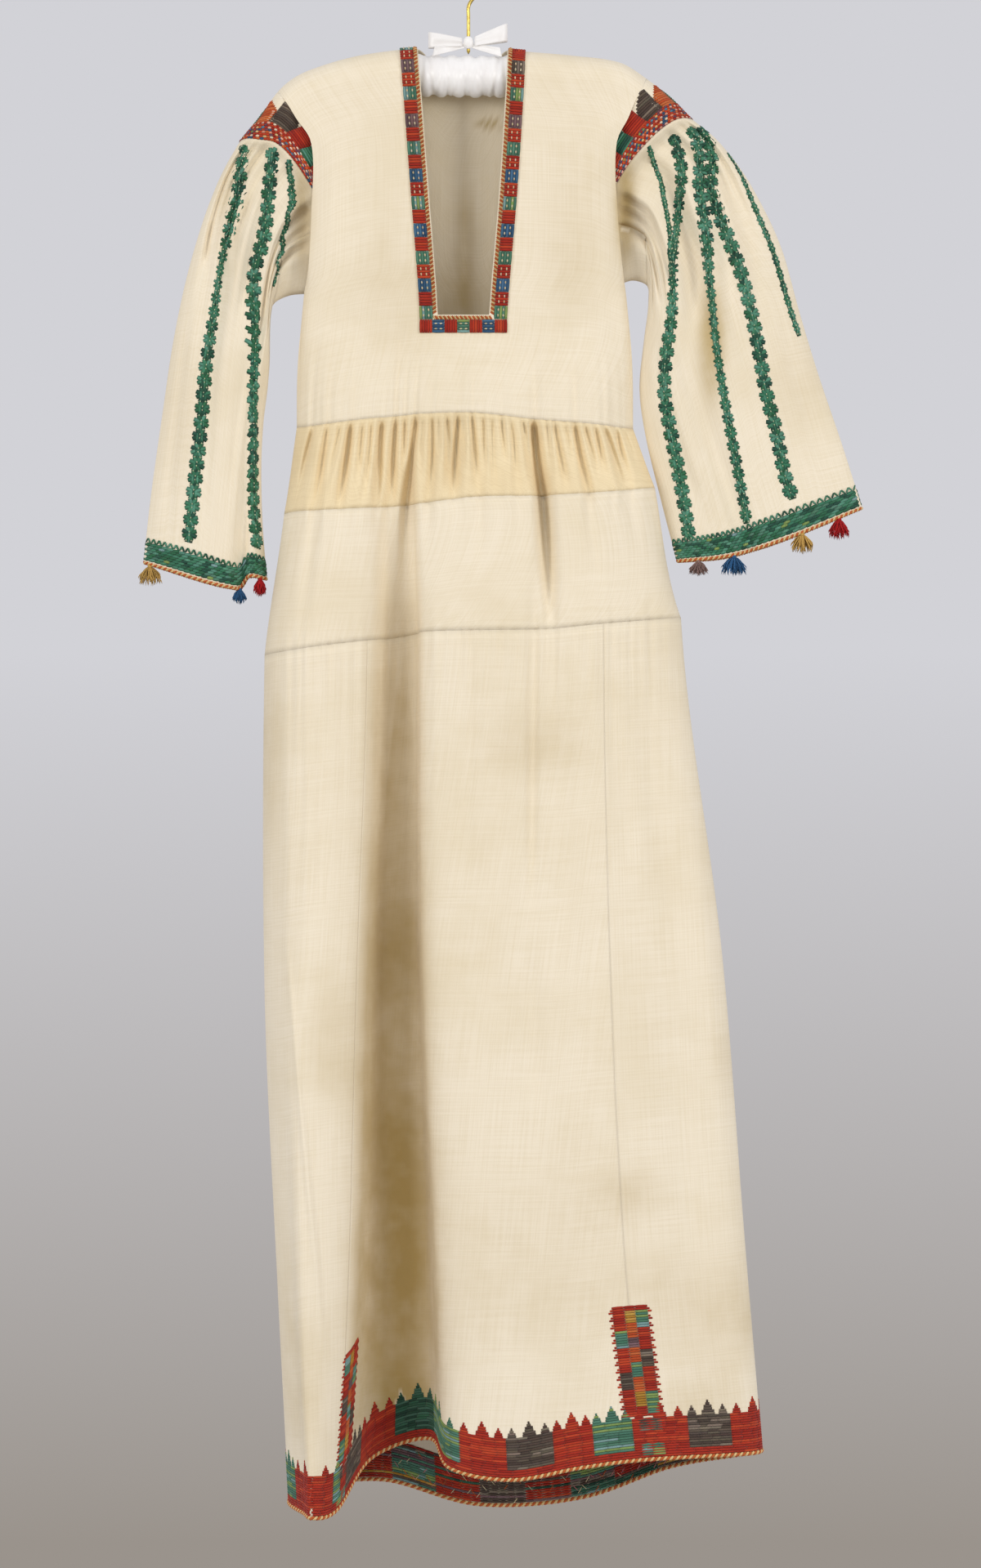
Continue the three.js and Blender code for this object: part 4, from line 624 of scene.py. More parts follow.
def walled(piece, thickness, offset):
    """Gives a sheet its wall: an offset of -1 lays it all inside the grid, 0 half on each side."""
    shell = piece.modifiers.new("wall", "SOLIDIFY")
    shell.thickness = thickness * MM
    shell.offset = offset
    shell.use_even_offset = False


def finished(piece, node=None):
    """Puts a piece on the one body, and in the place of the node it stands for."""
    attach(piece, "root")
    if node:
        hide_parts(node)
    return piece


# Soft ovals of colour on the cloth. The first is a real brown stain inside the back. Those at x -151 and 143
# along the bodice's edges, at x 222 on the right sleeve, and at x -6 and -3 inside the back below the neck
# are painted shade in folds and recesses. The rest yellow and darken the cloth in broad patches.
STAIN_AND_SHADE_OVALS = (  # x, y side, down, half width, half height, strength
    (20, 1, 149, 12, 4, 0.85), (215, -1, 1240, 60, 55, 0.3), (150, -1, 1130, 34, 22, 0.22),
    (-120, -1, 1000, 26, 60, 0.16), (60, -1, 720, 46, 30, 0.16), (-60, -1, 300, 44, 60, 0.14),
    (92, -1, 250, 30, 70, 0.16), (30, 1, 1180, 70, 60, 0.25), (-90, 1, 700, 40, 80, 0.2),
    (240, -1, 1010, 20, 30, 0.2), (-6, 1, 310, 34, 60, 0.4),
    (-151, -1, 232, 10, 48, 0.8), (143, -1, 228, 10, 48, 0.8), (222, -1, 352, 12, 60, 0.6),
    (-264, -1, 420, 18, 60, 0.2), (300, -1, 380, 24, 50, 0.14), (-218, -1, 250, 12, 60, 0.18),
    (-154, -1, 1300, 30, 90, 0.2), (-20, -1, 1200, 60, 120, 0.12), (92, -1, 1180, 70, 90, 0.12),
    (214, -1, 1330, 40, 30, 0.2), (-182, -1, 720, 14, 90, 0.16), (-3, 1, 270, 8, 70, 0.35))


def stain_and_shade_at(places):
    """The strength of the stains and painted shade at a place, from the listed soft ovals."""
    amount = np.zeros(places.shape[:-1])
    for x, side, down, wide, high, strength in STAIN_AND_SHADE_OVALS:
        away = ((places[..., 0] - x) / wide) ** 2 + ((-places[..., 2] - down) / high) ** 2
        amount += strength * np.exp(-away ** 1.5) * (places[..., 1] * side > 0)
    return amount


FOLD_MIDDLE = -70  # x of the deep front fold
FOLD_EDGE, FOLD_DEEP, FOLD_BEHIND = -58, -28, 27  # y where the fold's painted shade begins, is whole, and the floor ends


# Painted shade: the deep front fold's floor and sides are blended towards the cloth's stain colour, standing
# in for the shade there.
def painted_fold_shade(places):
    """How much painted shade lies in the deep front fold: most on its floor, less up its sides. It
    widens and strengthens down the skirt, and falls off by the cube of the distance from its middle."""
    x, y, down = places[..., 0], places[..., 1], -places[..., 2]
    wide = mix(25, 44, np.clip((down - 640) / 600, 0, 1))
    depth = np.clip((y - FOLD_EDGE) / (FOLD_DEEP - FOLD_EDGE), 0, 1) * (y < FOLD_BEHIND)
    strength = mix(0.52, 0.8, np.clip((down - 800) / 500, 0, 1)) * ease((down - 560) / 160)
    return strength * np.exp(-(np.abs(x - FOLD_MIDDLE) / wide) ** 3) * depth


def lie_on(grid, u, v, lift=0.0):
    """Places over a grid's surface at (u, v), blended from the four grid points about them and
    moved out by lift, with the normal there."""
    columns, rows = grid.place.shape[:2]
    fu = np.interp(u, grid.us, np.arange(columns))
    fv = np.interp(v, grid.vs, np.arange(rows))
    i = np.clip(fu.astype(int), 0, columns - 2)
    j = np.clip(fv.astype(int), 0, rows - 2)
    a, b = (fu - i)[..., None], (fv - j)[..., None]

    def blended(field):
        return mix(mix(field[i, j], field[i + 1, j], a), mix(field[i, j + 1], field[i + 1, j + 1], a), b)
    normal = unit(blended(grid.normal))
    return blended(grid.place) + np.asarray(lift)[..., None] * normal, normal


YARN_ROUND = 6.0  # the wool's own millimetres round one yarn


def ring_faces(count, steps, sides):
    """The quads round many tubes at once, one ring after another, and for each of the quads' four
    corners its tube, its step along and its side round."""
    n, k, c = np.meshgrid(np.arange(count), np.arange(steps - 1), np.arange(sides), indexing="ij")
    corners = [(n.ravel(), (k + a).ravel(), (c + b).ravel())
               for a, b in ((0, 0), (1, 0), (1, 1), (0, 1))]
    return np.stack([(n * steps + k) * sides + c % sides for n, k, c in corners], axis=1), corners


def tubes(paths, radius, sides, up):
    """Round tubes along many paths at once: rings of cos a to the side and sin a over it, carried
    along each path. paths is (tubes, steps, 3) and radius (tubes, steps)."""
    count, steps = paths.shape[:2]
    tangent = unit(np.gradient(paths, axis=1))
    side = unit(np.cross(tangent, np.asarray(up, float)))
    over = np.cross(side, tangent)
    angle = 2 * np.pi * np.arange(sides) / sides
    ring = np.cos(angle)[:, None] * side[:, :, None, :] + np.sin(angle)[:, None] * over[:, :, None, :]
    places = (paths[:, :, None, :] + radius[:, :, None, None] * ring).reshape(-1, 3)
    faces, corners = ring_faces(count, steps, sides)
    length = np.concatenate([np.zeros((count, 1)), np.cumsum(
        np.linalg.norm(np.diff(paths, axis=1), axis=-1), axis=1)], axis=1)
    uv = np.stack([np.stack([length[n, k], c / sides * YARN_ROUND], axis=-1) for n, k, c in corners], axis=1)
    return places, faces, uv.reshape(-1, 2) * MM


def closed_up(made):
    """Merges the doubled points at tips and poles, and turns all faces outwards."""
    mesh = bmesh.new()
    mesh.from_mesh(made.data)
    bmesh.ops.remove_doubles(mesh, verts=mesh.verts, dist=1e-6)
    bmesh.ops.recalc_face_normals(mesh, faces=mesh.faces)
    mesh.to_mesh(made.data)
    mesh.free()
    return made


# ---------------------------------------------------------------- materials


def linear(hex_colour):
    """An sRGB hex colour as linear red, green and blue."""
    value = np.array([int(hex_colour[k:k + 2], 16) / 255 for k in (0, 2, 4)])
    return np.where(value <= 0.04045, value / 12.92, ((value + 0.055) / 1.055) ** 2.4)


def rgba(hex_colour):
    return (*linear(hex_colour), 1)


def add_node(tree, kind, inputs=None, out=0, **settings):
    """Adds one node with its settings and gives back the output asked for. inputs gives each
    socket a value, or the output that feeds it."""
    made = tree.nodes.new("ShaderNode" + kind)
    for name, value in settings.items():
        setattr(made, name, value)
    for key, value in (inputs or {}).items():
        if isinstance(value, bpy.types.NodeSocket):
            tree.links.new(value, made.inputs[key])
        else:
            made.inputs[key].default_value = value
    return made.outputs[out] if made.outputs else None


def empty_material(name):
    made = bpy.data.materials.new(name)
    made.use_nodes = True
    made.node_tree.nodes.clear()
    return made, made.node_tree


def shaded(tree, colour, roughness, height=None, strength=0, distance=0, **constants):
    """Ends a material: one shader with constant sockets, and a bump where it has a height."""
    inputs = {"Base Color": colour, "Roughness": roughness}
    inputs.update({name.replace("_", " "): value for name, value in constants.items()})
    if height is not None:
        inputs["Normal"] = add_node(tree, "Bump", {"Height": height, "Strength": strength,
                                                   "Distance": distance})
    add_node(tree, "OutputMaterial", {0: add_node(tree, "BsdfPrincipled", inputs)})


def toned(tree, value, low, high, to_low, to_high, a, b):
    """A blend from colour a to colour b, by how far a value has come from low to high."""
    amount = add_node(tree, "MapRange", {0: value, 1: low, 2: high, 3: to_low, 4: to_high})
    return add_node(tree, "Mix", {0: amount, 6: a, 7: b}, 2, data_type="RGBA")


def drawn_out(tree, vector, scale, detail=2.0):
    """Fine streaks: noise whose coordinates are squeezed most across the threads."""
    stretched = add_node(tree, "Mapping", {"Vector": vector, "Scale": scale})
    return add_node(tree, "TexNoise", {"Vector": stretched, "Scale": 1.0, "Detail": detail})


def homespun(name, colour, dark, stain_and_shade):
    """Hand-woven linen and wool: plain weave of uneven threads, unbleached, yellowed with age in stains and
    darkened with painted shade in folds.
    The threads are 0.5 mm apart and drawn 1.5 mm apart, as coarse as they need to show."""
    made, tree = empty_material(name)
    weave = add_node(tree, "UVMap", uv_map="weave")
    place = add_node(tree, "TexCoord", out="Object")
    warp = drawn_out(tree, weave, (700, 12, 1))
    weft = drawn_out(tree, weave, (14, 700, 1))
    slubs = add_node(tree, "Math", {0: warp, 1: weft}, operation="ADD")
    clouds = add_node(tree, "TexNoise", {"Vector": place, "Scale": 9.0, "Detail": 4.0,
                                         "Roughness": 0.6})
    grain = add_node(tree, "TexNoise", {"Vector": place, "Scale": 900.0, "Detail": 1.0})
    mottled = toned(tree, clouds, 0.42, 0.72, 0.0, 0.5, rgba(colour), rgba(dark))
    streaked = toned(tree, slubs, 0.85, 1.3, 0.0, 0.42, mottled, rgba(dark))
    # The stain attribute holds real stains and painted shade together: both blend the cloth towards its third
    # colour.
    stain_and_shade_amount = add_node(tree, "Attribute", out="Fac", attribute_name="stain_and_shade")
    edge_of_stain_and_shade = add_node(tree, "MapRange", {0: clouds, 1: 0.35, 2: 0.65, 3: 0.6, 4: 1.3})
    ragged = add_node(tree, "Math", {0: stain_and_shade_amount, 1: edge_of_stain_and_shade}, operation="MULTIPLY")
    most = add_node(tree, "Math", {0: ragged, 1: 0.9}, operation="MINIMUM")
    stain_and_shade_colour = add_node(tree, "Mix", {0: most, 6: streaked, 7: rgba(stain_and_shade)}, 2, data_type="RGBA")
    slub_height = add_node(tree, "Math", {0: slubs, 1: 0.6}, operation="MULTIPLY")
    grain_height = add_node(tree, "Math", {0: grain, 1: 0.4}, operation="MULTIPLY")
    height = add_node(tree, "Math", {0: slub_height, 1: grain_height}, operation="ADD")
    shaded(tree, stain_and_shade_colour, 0.92, height, 0.35, 0.0006, Sheen_Weight=0.15, Sheen_Roughness=0.6,
           Specular_IOR_Level=0.2)
    return made


def spun_wool(name):
    """Wool yarn laid in long flat stitches: soft sheen along the twist, which is 0.8 mm a turn, and painted
    shade in the twist's grooves.
    """
    made, tree = empty_material(name)
    along = add_node(tree, "UVMap", uv_map="weave")
    colour = add_node(tree, "Attribute", out="Color", attribute_name="thread")
    slanted = add_node(tree, "Mapping", {"Vector": along, "Rotation": (0, 0, 0.6),
                                         "Scale": (1250, 1250, 1)})
    twist = add_node(tree, "TexWave", {"Vector": slanted, "Scale": 0.32, "Distortion": 1.5,
                                       "Detail": 1.0})
    fibres = drawn_out(tree, along, (300, 3000, 1))
    height = add_node(tree, "Math", {0: twist, 1: fibres}, operation="ADD")
    # Painted shade: the wool is darkened where the twist's height is low, in its grooves.
    dark = add_node(tree, "Mix", {0: 1.0, 6: colour, 7: (0.45, 0.42, 0.40, 1)}, 2,
                    data_type="RGBA", blend_type="MULTIPLY")
    shaded(tree, toned(tree, height, 0.55, 1.25, 0.55, 0.0, colour, dark), 0.8, height, 0.5, 0.0004,
           Sheen_Weight=0.06, Sheen_Roughness=0.45, Specular_IOR_Level=0.25)
    return made


def woven_satin():
    """Bleached satin: long floating threads, so it is smooth and glossy across its soft folds."""
    made, tree = empty_material("bleached_satin")
    place = add_node(tree, "TexCoord", out="Object")
    floats = drawn_out(tree, place, (900, 900, 90))
    clouds = add_node(tree, "TexNoise", {"Vector": place, "Scale": 40.0})
    colour = toned(tree, clouds, 0.35, 0.7, 0.0, 0.6, rgba("F7F5F2"), rgba("E6E2DE"))
    rough = add_node(tree, "MapRange", {0: floats, 1: 0.3, 2: 0.7, 3: 0.28, 4: 0.45})
    shaded(tree, colour, rough, floats, 0.12, 0.0003, Sheen_Weight=0.2)
    return made


def drawn_brass():
    """Brass-plated steel wire: drawn along its length, a little dull where hands have worn it."""
    made, tree = empty_material("drawn_brass_wire")
    place = add_node(tree, "TexCoord", out="Object")
    wear = add_node(tree, "TexNoise", {"Vector": place, "Scale": 160.0, "Detail": 4.0})
    drawn = drawn_out(tree, place, (3000, 3000, 200))
    colour = add_node(tree, "Mix", {0: wear, 6: rgba("D9C46E"), 7: rgba("B89A4E")}, 2,
                      data_type="RGBA")
    rough = add_node(tree, "MapRange", {0: drawn, 1: 0.3, 2: 0.7, 3: 0.2, 4: 0.42})
    shaded(tree, colour, rough, drawn, 0.1, 0.0002, Metallic=1.0)
    return made


def studio_floor():
    """Matt painted board with a faint roller texture."""
    made, tree = empty_material("matt_painted_board")
    place = add_node(tree, "TexCoord", out="Object")
    roller = add_node(tree, "TexNoise", {"Vector": place, "Scale": 120.0})
    colour = add_node(tree, "Mix", {0: roller, 6: rgba("CBCBCF"), 7: rgba("C3C3C8")}, 2,
                      data_type="RGBA")
    shaded(tree, colour, 0.85)
    return made


# Each cloth: its colour, its darker thread, and the colour that stains and painted shade blend it towards.
CREAM = homespun("cream_homespun", "EEE2CA", "DCCCA9", "AD914F")
TAN = homespun("tan_homespun", "EDDAB2", "D6BF92", "AE8546")
WOOL = spun_wool("spun_wool")
SATIN = woven_satin()
BRASS = drawn_brass()

# ---------------------------------------------------------------- camera, light and floor


CAMERA_AWAY = 6.0  # metres
FRAME_HEIGHT = 1.43925  # metres seen from top to bottom at the dress
FRAME_MIDDLE = (0.02025, -0.757)
SENSOR = 36
LAMPS = (  # place and size in metres, watts
    ("lamp_left", (-2.7, -2.5, 0.0), 1.3, 44), ("lamp_right", (2.8, -2.5, -0.1), 1.3, 48),
    ("lamp_top", (-0.3, -3.6, 1.0), 1.6, 18))
LAMP_AIM = (0, 0, -0.75)
FLOOR_DOWN, FLOOR_RADIUS = 1720, 1200


def studio():
    """A camera in front, level with the middle of the dress, wide soft lamps on both sides and one
    in front and above, a grey surround that darkens downwards, and a pale round floor."""
    scene = bpy.context.scene
    scene.view_settings.view_transform = "Standard"
    camera = bpy.data.objects.new("camera", bpy.data.cameras.new("camera"))
    camera.data.sensor_width = SENSOR
    camera.data.lens = SENSOR * CAMERA_AWAY / FRAME_HEIGHT
    camera.location = (FRAME_MIDDLE[0], -CAMERA_AWAY, FRAME_MIDDLE[1])
    camera.rotation_euler = (np.pi / 2, 0, 0)
    scene.collection.objects.link(camera)
    scene.camera = camera
    for name, place, size, power in LAMPS:
        lamp = bpy.data.objects.new(name, bpy.data.lights.new(name, "AREA"))
        lamp.data.size = size
        lamp.data.energy = power
        lamp.location = place
        away = np.array(place) - np.array(LAMP_AIM)
        lamp.rotation_euler = (np.arctan2(np.hypot(away[0], away[1]), away[2]), 0,
                               np.arctan2(away[0], -away[1]))
        scene.collection.objects.link(lamp)
    world = bpy.data.worlds.new("grey_surround")
    world.use_nodes = True
    tree = world.node_tree
    tree.nodes.clear()
    looking = add_node(tree, "TexCoord", out="Generated")
    height = add_node(tree, "SeparateXYZ", {0: looking}, 2)
    colour = toned(tree, height, -0.115, 0.02, 0.0, 1.0, rgba("9A938C"), rgba("D2D2D7"))
    lit = add_node(tree, "Background", {"Color": colour, "Strength": 1.0})
    add_node(tree, "OutputWorld", {0: lit})
    scene.world = world
    disc = np.linspace(0, FLOOR_RADIUS, 14)[:, None] * np.ones(73)
    angle = np.linspace(0, 2 * np.pi, 73)[None, :]
    places = spot(disc * np.cos(angle), disc * np.sin(angle), FLOOR_DOWN)
    faces, _ = grid_faces(14, 73, False)
    floor = closed_up(mesh_object("floor", places.reshape(-1, 3), faces, studio_floor()))


studio()

# ---------------------------------------------------------------- the dress


def dense(start, end, step):
    return np.linspace(start, end, max(int(round((end - start) / step)) + 1, 2))


def cosine(start, end, count):
    """Steps that close up towards both ends, for a fold."""
    return mix(start, end, (1 - np.cos(np.pi * np.arange(count + 1) / count)) / 2)


def front_out(side):
    """The sleeve's point function, with the right sleeve run the other way round, so that both
    grids face outwards. The right sleeve's inner fold is then at 0 and its outer fold at 1."""
    point = SLEEVE_POINTS[side]
    return point if side == "left" else lambda turn, share: point(1 - turn, share)


AROUND = np.concatenate([cosine(0, 1, 96), cosine(0, 1, 96)[1:] + 1])


grids = {}


def sew(name, point, us, vs, material=CREAM, closed=False, keep=None):
    """A thin shell of cloth on the grid of a point function, its wall turned inwards."""
    grids[name] = laid_out(point, us, vs, closed)
    # The cloth's attribute sums the oval stains and painted shade with the deep front fold's painted shade.
    piece = from_grid(name + "_cloth", grids[name], material, keep,
                      lambda places: stain_and_shade_at(places) + painted_fold_shade(places))
    walled(piece, CLOTH, -1)
    finished(piece, name)


def joined(*parts):
    return np.unique(np.concatenate(parts))


FRONT_STATIONS, BACK_STATIONS = dense(0, RIGHT_SIDE, 0.035), dense(RIGHT_SIDE, ROUND, 0.035)
BAND_LEVELS, YOKE_LEVELS, SKIRT_LEVELS = dense(0, 1, 0.05), dense(1, 2, 0.045), dense(2, 3, 0.0115)
for face, stations in (("front", FRONT_STATIONS), ("back", BACK_STATIONS)):
    sew("waist_band_" + face, trunk_point, stations, BAND_LEVELS, TAN)
for face, stations in (("front", FRONT_STATIONS), ("back", BACK_STATIONS)):
    sew("skirt_yoke_" + face, trunk_point, stations, YOKE_LEVELS)
for name, start, end in (("skirt_front", 3, 9), ("skirt_side_right", 9, 13), ("skirt_back", 13, 16),
                         ("skirt_side_left", 16, 21)):
    sew(name, trunk_point, dense(start, end, 0.03), SKIRT_LEVELS)

bodice_rows = joined(dense(0, 1, 0.028), dense(1, 2, 0.04))
bodice_stations = joined(dense(0, 6.3, 0.06), dense(6.3, 7.25, 0.05), dense(7.25, RIGHT_SIDE, 0.06),
                         cosine(0, 1, 12), cosine(10, RIGHT_SIDE, 12))
past_left = bodice_stations[:-1, None] >= NECK_STATIONS[0] - 1e-6
short_of_right = bodice_stations[:-1, None] < NECK_STATIONS[1] - 1e-6
sew("bodice_front", bodice_front_point, bodice_stations, bodice_rows,
    keep=~(past_left & short_of_right & (bodice_rows[None, :-1] < 1)))
sew("bodice_back", bodice_back_point, joined(dense(RIGHT_SIDE, ROUND, 0.04), cosine(11, 12, 14),
                                             cosine(17, 18, 14)), bodice_rows)
sew("neck_edging", neck_strip_point, np.concatenate([
    dense(0, 1, 0.02), dense(1, 2, 0.05)[1:], dense(2, 3, 0.02)[1:]]), dense(0, 1, 0.25))

for side in ("left", "right"):
    lines = [bodice_edge_seam(side), shoulder_seam(SHOULDERS[side]["middle"]),
             shoulder_seam(SHOULDERS[side]["outer"])]
    turns = joined(-cosine(0, 1, 44), cosine(0, 1, 44))
    for name, pair in (("shoulder_", lines[:2]), ("sleeve_band_", lines[1:])):
        pair = pair[::-1] if side == "left" else pair
        sew(name + side, shoulder_point(*pair), dense(0, 1, 0.1), turns)
    point, inner = front_out(side), 1 if side == "left" else 0
    shares = joined(dense(0, GUSSET_SHARE, 0.008), dense(GUSSET_SHARE, 1 - CUFF_SHARE, 0.014))
    off = np.abs((AROUND[:-1] + AROUND[1:]) / 2 - inner)
    off = np.minimum(off, 2 - off)
    keep = ~((off[:, None] < GUSSET_HALF_TURN) & (shares[None, :-1] < GUSSET_SHARE - 1e-6))
    sew("sleeve_" + side, point, AROUND, shares, closed=True, keep=keep)
    sew("gusset_" + side, point, inner + dense(-GUSSET_HALF_TURN, GUSSET_HALF_TURN, 0.02),
        dense(0, GUSSET_SHARE, 0.01))
    sew("cuff_band_" + side, point, AROUND, dense(1 - CUFF_SHARE, 1, 0.006),
        closed=True)

# ---------------------------------------------------------------- stitches


STITCH_ENDS = 0.8, 0.55  # share of the width and of the lift that is left at a stitch's ends
STITCH_SIDES, STITCH_ROOT = 0.3, 0.4  # how far its sides stand over the cloth and its root under
STITCH_PAINTED_SHADE = (0.8, 1.0, 0.8, 0.6)  # painted shade of the side, crest, side and root: darker on the sides and darkest at the root


def stitches(name, lay, rows, steps=4):
    """Long flat stitches, each a closed bar that rises from the cloth at both ends. A row has the
    two coordinates of both ends, the half width, the lift and the wool's colour, and lay gives
    the cloth's places and normals at those coordinates."""
    numbers = np.array([row[:6] for row in rows], float)
    count = len(rows)
    tints = np.array([linear(row[6]) for row in rows]) * (0.9 + 0.2 * chance.random((count, 1)))
    tints = tints * (0.96 + 0.08 * chance.random((count, 3)))
    u0, v0, u1, v1, half, lift = numbers.T[:, :, None]
    t = np.linspace(0, 1, steps)[None, :]
    place, normal = lay(mix(u0, u1, t), mix(v0, v1, t))
    side = unit(np.cross(normal, unit(np.gradient(place, axis=1))))
    arch = np.sin(np.pi * t) ** 0.5
    wide = (half * mix(STITCH_ENDS[0], 1, arch))[..., None] * side
    crest = (lift * mix(STITCH_ENDS[1], 1, arch))[..., None] * normal
    ring = np.stack([place - wide + STITCH_SIDES * normal, place + crest,
                     place + wide + STITCH_SIDES * normal, place - STITCH_ROOT * normal], axis=2)
    faces, corners = ring_faces(count, steps, 4)
    first = np.arange(count)[:, None] * steps * 4
    ends = np.concatenate([first + np.arange(4), first + (steps - 1) * 4 + np.arange(4)[::-1]])
    length = np.linalg.norm(place[:, -1] - place[:, 0], axis=-1)
    start = 40 * chance.random(count)
    uv = np.stack([np.stack([start[n] + length[n] * k / (steps - 1), c * 0.7], axis=-1)
                   for n, k, c in corners], axis=1)
    caps = start.repeat(4).reshape(count, 4, 1) * (1.0, 0.0)
    caps = caps + np.array([(0.0, 0.0), (0.0, 0.7), (0.3, 0.7), (0.3, 0.0)])
    # Painted shade: each stitch's sides and root are coloured darker than its crest.
    shade = np.array(STITCH_PAINTED_SHADE)[None, None, :, None]
    colours = np.clip(tints[:, None, None, :] * shade * np.ones((1, steps, 1, 1)), 0, 1)
    piece = mesh_object(name, ring.reshape(-1, 3), np.concatenate([faces, ends]), WOOL,
                        (np.concatenate([uv, caps, caps]) * MM).reshape(-1, 2),
                        colours=colours.reshape(-1, 3))
    finished(piece)


CORD_TINTS = ("C8642E", "E8C68A")


def twisted_cord(name, path, normal, pitch, radius, node=None):
    """Two yarns laid round each other about a path: each runs a radius out, half a turn apart, and
    closes to a point at both ends."""
    run = np.concatenate([[0], np.cumsum(np.linalg.norm(np.diff(path, axis=0), axis=-1))])
    even = np.arange(0, run[-1], pitch / 8)
    middle = np.stack([np.interp(even, run, path[:, k]) for k in range(3)], axis=-1)
    out = unit(np.stack([np.interp(even, run, normal[:, k]) for k in range(3)], axis=-1))
    over = np.cross(out, unit(np.gradient(middle, axis=0)))
    turn = 2 * np.pi * even / pitch
    paths = np.stack([middle + 0.8 * radius * (np.cos(turn + half)[:, None] * out
                                               + np.sin(turn + half)[:, None] * over)
                      for half in (0, np.pi)])
    size = np.full(paths.shape[:2], radius)
    size[:, [0, -1]] = 0
    places, faces, uv = tubes(paths, size, 5, (0, 0, 1))
    colours = np.repeat(np.array([linear(tint) for tint in CORD_TINTS]), len(even) * 5, axis=0)
    piece = closed_up(mesh_object(name, places, faces, WOOL, uv, colours=colours))
    finished(piece, node)


def in_turn(shades):
    return shades[chance.integers(len(shades))]


WOOLS = {  # the shades that lie side by side in one block
    "red": ("B5331F", "A92A1A", "C03A20", "CC4A28", "B5331F"),
    "brown": ("5A4A40", "6B5F50", "54463C", "8A7C6C", "62554A"),
    "green": ("4F7F68", "5E8F78", "86ABA6", "8FA860", "56876F"),
    "dark": ("2F5A45", "3A6B52", "2A4F3E", "4A7560"),
    "blue": ("3E6688", "34597A", "4A7496"),
    "purple": ("7B5F62", "6E5458", "86696A"),
    "gold": ("C8963C", "B98730", "D4A650"),
    "orange": ("D0622E", "C85426", "DA7640"),
    "leaf": ("3F7E60", "4B8A6B", "35704F", "5E9A80", "2C5A48"),
    "pale": ("E6D2A8", "EAD9B6", "DEC79A")}

# ---------------------------------------------------------------- the hem's embroidery

HEM_PITCH = 2.25  # from one row of wool to the next
HEM_RED_ROWS = 3
HEM_BLOCK_ROWS = 13
HEM_BLOCK_FOOT = 8.2
HEM_STEP = 0.03  # stations from one column of the hem's grid to the next
HEM_TOP = 2.8  # the level where the hem's grid starts
FRONT_BLOCKS = (  # x where each block ends, from the left side on, and its wool
    (-156, "green"), (-124, "red"), (-118, "green"), (-113, "red"), (-100, "brown"), (-68, "red"),
    (-31, "dark"), (-7, "green"), (36, "red"), (79, "brown"), (115.5, "red"), (152, "green"),
    (202.5, "red"), (241.5, "brown"), (269, "red"))
BACK_RHYTHM = ("green", "red", "brown", "red")
BACK_BLOCK = 42
LARGE_TOOTH = (6.2, 5.9, 4.0, 3.7, 1.9, 0.9)  # half width of each row, from the foot up
SMALL_TOOTH = (4.0, 3.5, 1.9, 0.8)
TEETH = ((0.13, SMALL_TOOTH), (0.5, LARGE_TOOTH), (0.85, SMALL_TOOTH))
SPINES = ((3, -1, 17), (9, 1, 0), (13, -1, 0), (16, 1, 0))  # station, lean and run beside its seam
SPINE_TOP, SPINE_FOOT = 141, 2
SPINE_COLUMNS = ((-16.5, -5), (-5, 5), (5, 16.5))
SPINE_SQUARES = (  # column, top and foot above the hem's edge, wool
    (1, 135.5, 124.3, "gold"), (1, 124.3, 110, "orange"), (1, 110, 101, "purple"),
    (1, 101, 86.8, "orange"), (1, 86.8, 74, "green"), (1, 74, 59.8, "orange"), (1, 59.8, 47, "gold"),
    (0, 117.5, 100.3, "green"), (0, 78.5, 62.8, "brown"), (2, 135.5, 119, "green"),
    (2, 99.5, 82.3, "brown"), (2, 60.5, 39.5, "green"), (2, 35, 23.8, "brown"), (1, 35, 23.8, "brown"),
    (1, 14, 2, "green"), (2, 14, 2, "green"))

hem = laid_out(trunk_point, dense(0, 21, HEM_STEP), dense(HEM_TOP, 3, 0.0075))
HEM_RUN = hem.uv[:, -4, 0] / MM
HEM_FALL = -hem.uv[:, -1, 1] / MM / 0.2  # millimetres down the cloth in one level


def run_at(station):
    return np.interp(station, hem.us, HEM_RUN)


def on_hem(run, height):
    """Run is the distance round the hem, height is above its edge."""
    station = np.interp(run, HEM_RUN, hem.us)
    return lie_on(hem, station, 3 - height / np.interp(station, hem.us, HEM_FALL))


def inside_hem(run, height):
    """The same place on the inner face of the cloth."""
    place, normal = on_hem(run, height)
    return place - (CLOTH + 0.15) * normal, -normal


def hem_blocks():
    """Where each block starts and ends round the hem, and its wool: the front's by x, then the
    back's in their even rhythm."""
    front = hem.us <= RIGHT_SIDE
    xs = np.maximum.accumulate(hem.place[front, -1, 0])
    ends = [float(np.interp(x, xs, HEM_RUN[front])) for x, _ in FRONT_BLOCKS]
    wools = [wool for _, wool in FRONT_BLOCKS]
    ends[-1] = float(run_at(RIGHT_SIDE))
    count = int(round((run_at(ROUND) - ends[-1]) / BACK_BLOCK))
    ends += list(np.linspace(ends[-1], run_at(ROUND), count + 1)[1:])
    wools += [BACK_RHYTHM[k % 4] for k in range(count)]
    return list(zip([0.0] + ends[:-1], ends, wools))


def wool_line(start, end, height, wool, length=11.0, half=1.3, lift=0.85):
    """One row of wool from start to end, in stitches of about one length with uneven joints."""
    count = max(int(round((end - start) / length)), 1)
    joints = np.linspace(start, end, count + 1)
    joints[1:-1] += length * 0.5 * (chance.random(count - 1) - 0.5)
    shade = in_turn(WOOLS[wool])
    return [(a - 0.35, height, b + 0.35, height, half, lift, shade if chance.random() < 0.75 else
             in_turn(WOOLS[wool])) for a, b in zip(joints[:-1], joints[1:])]


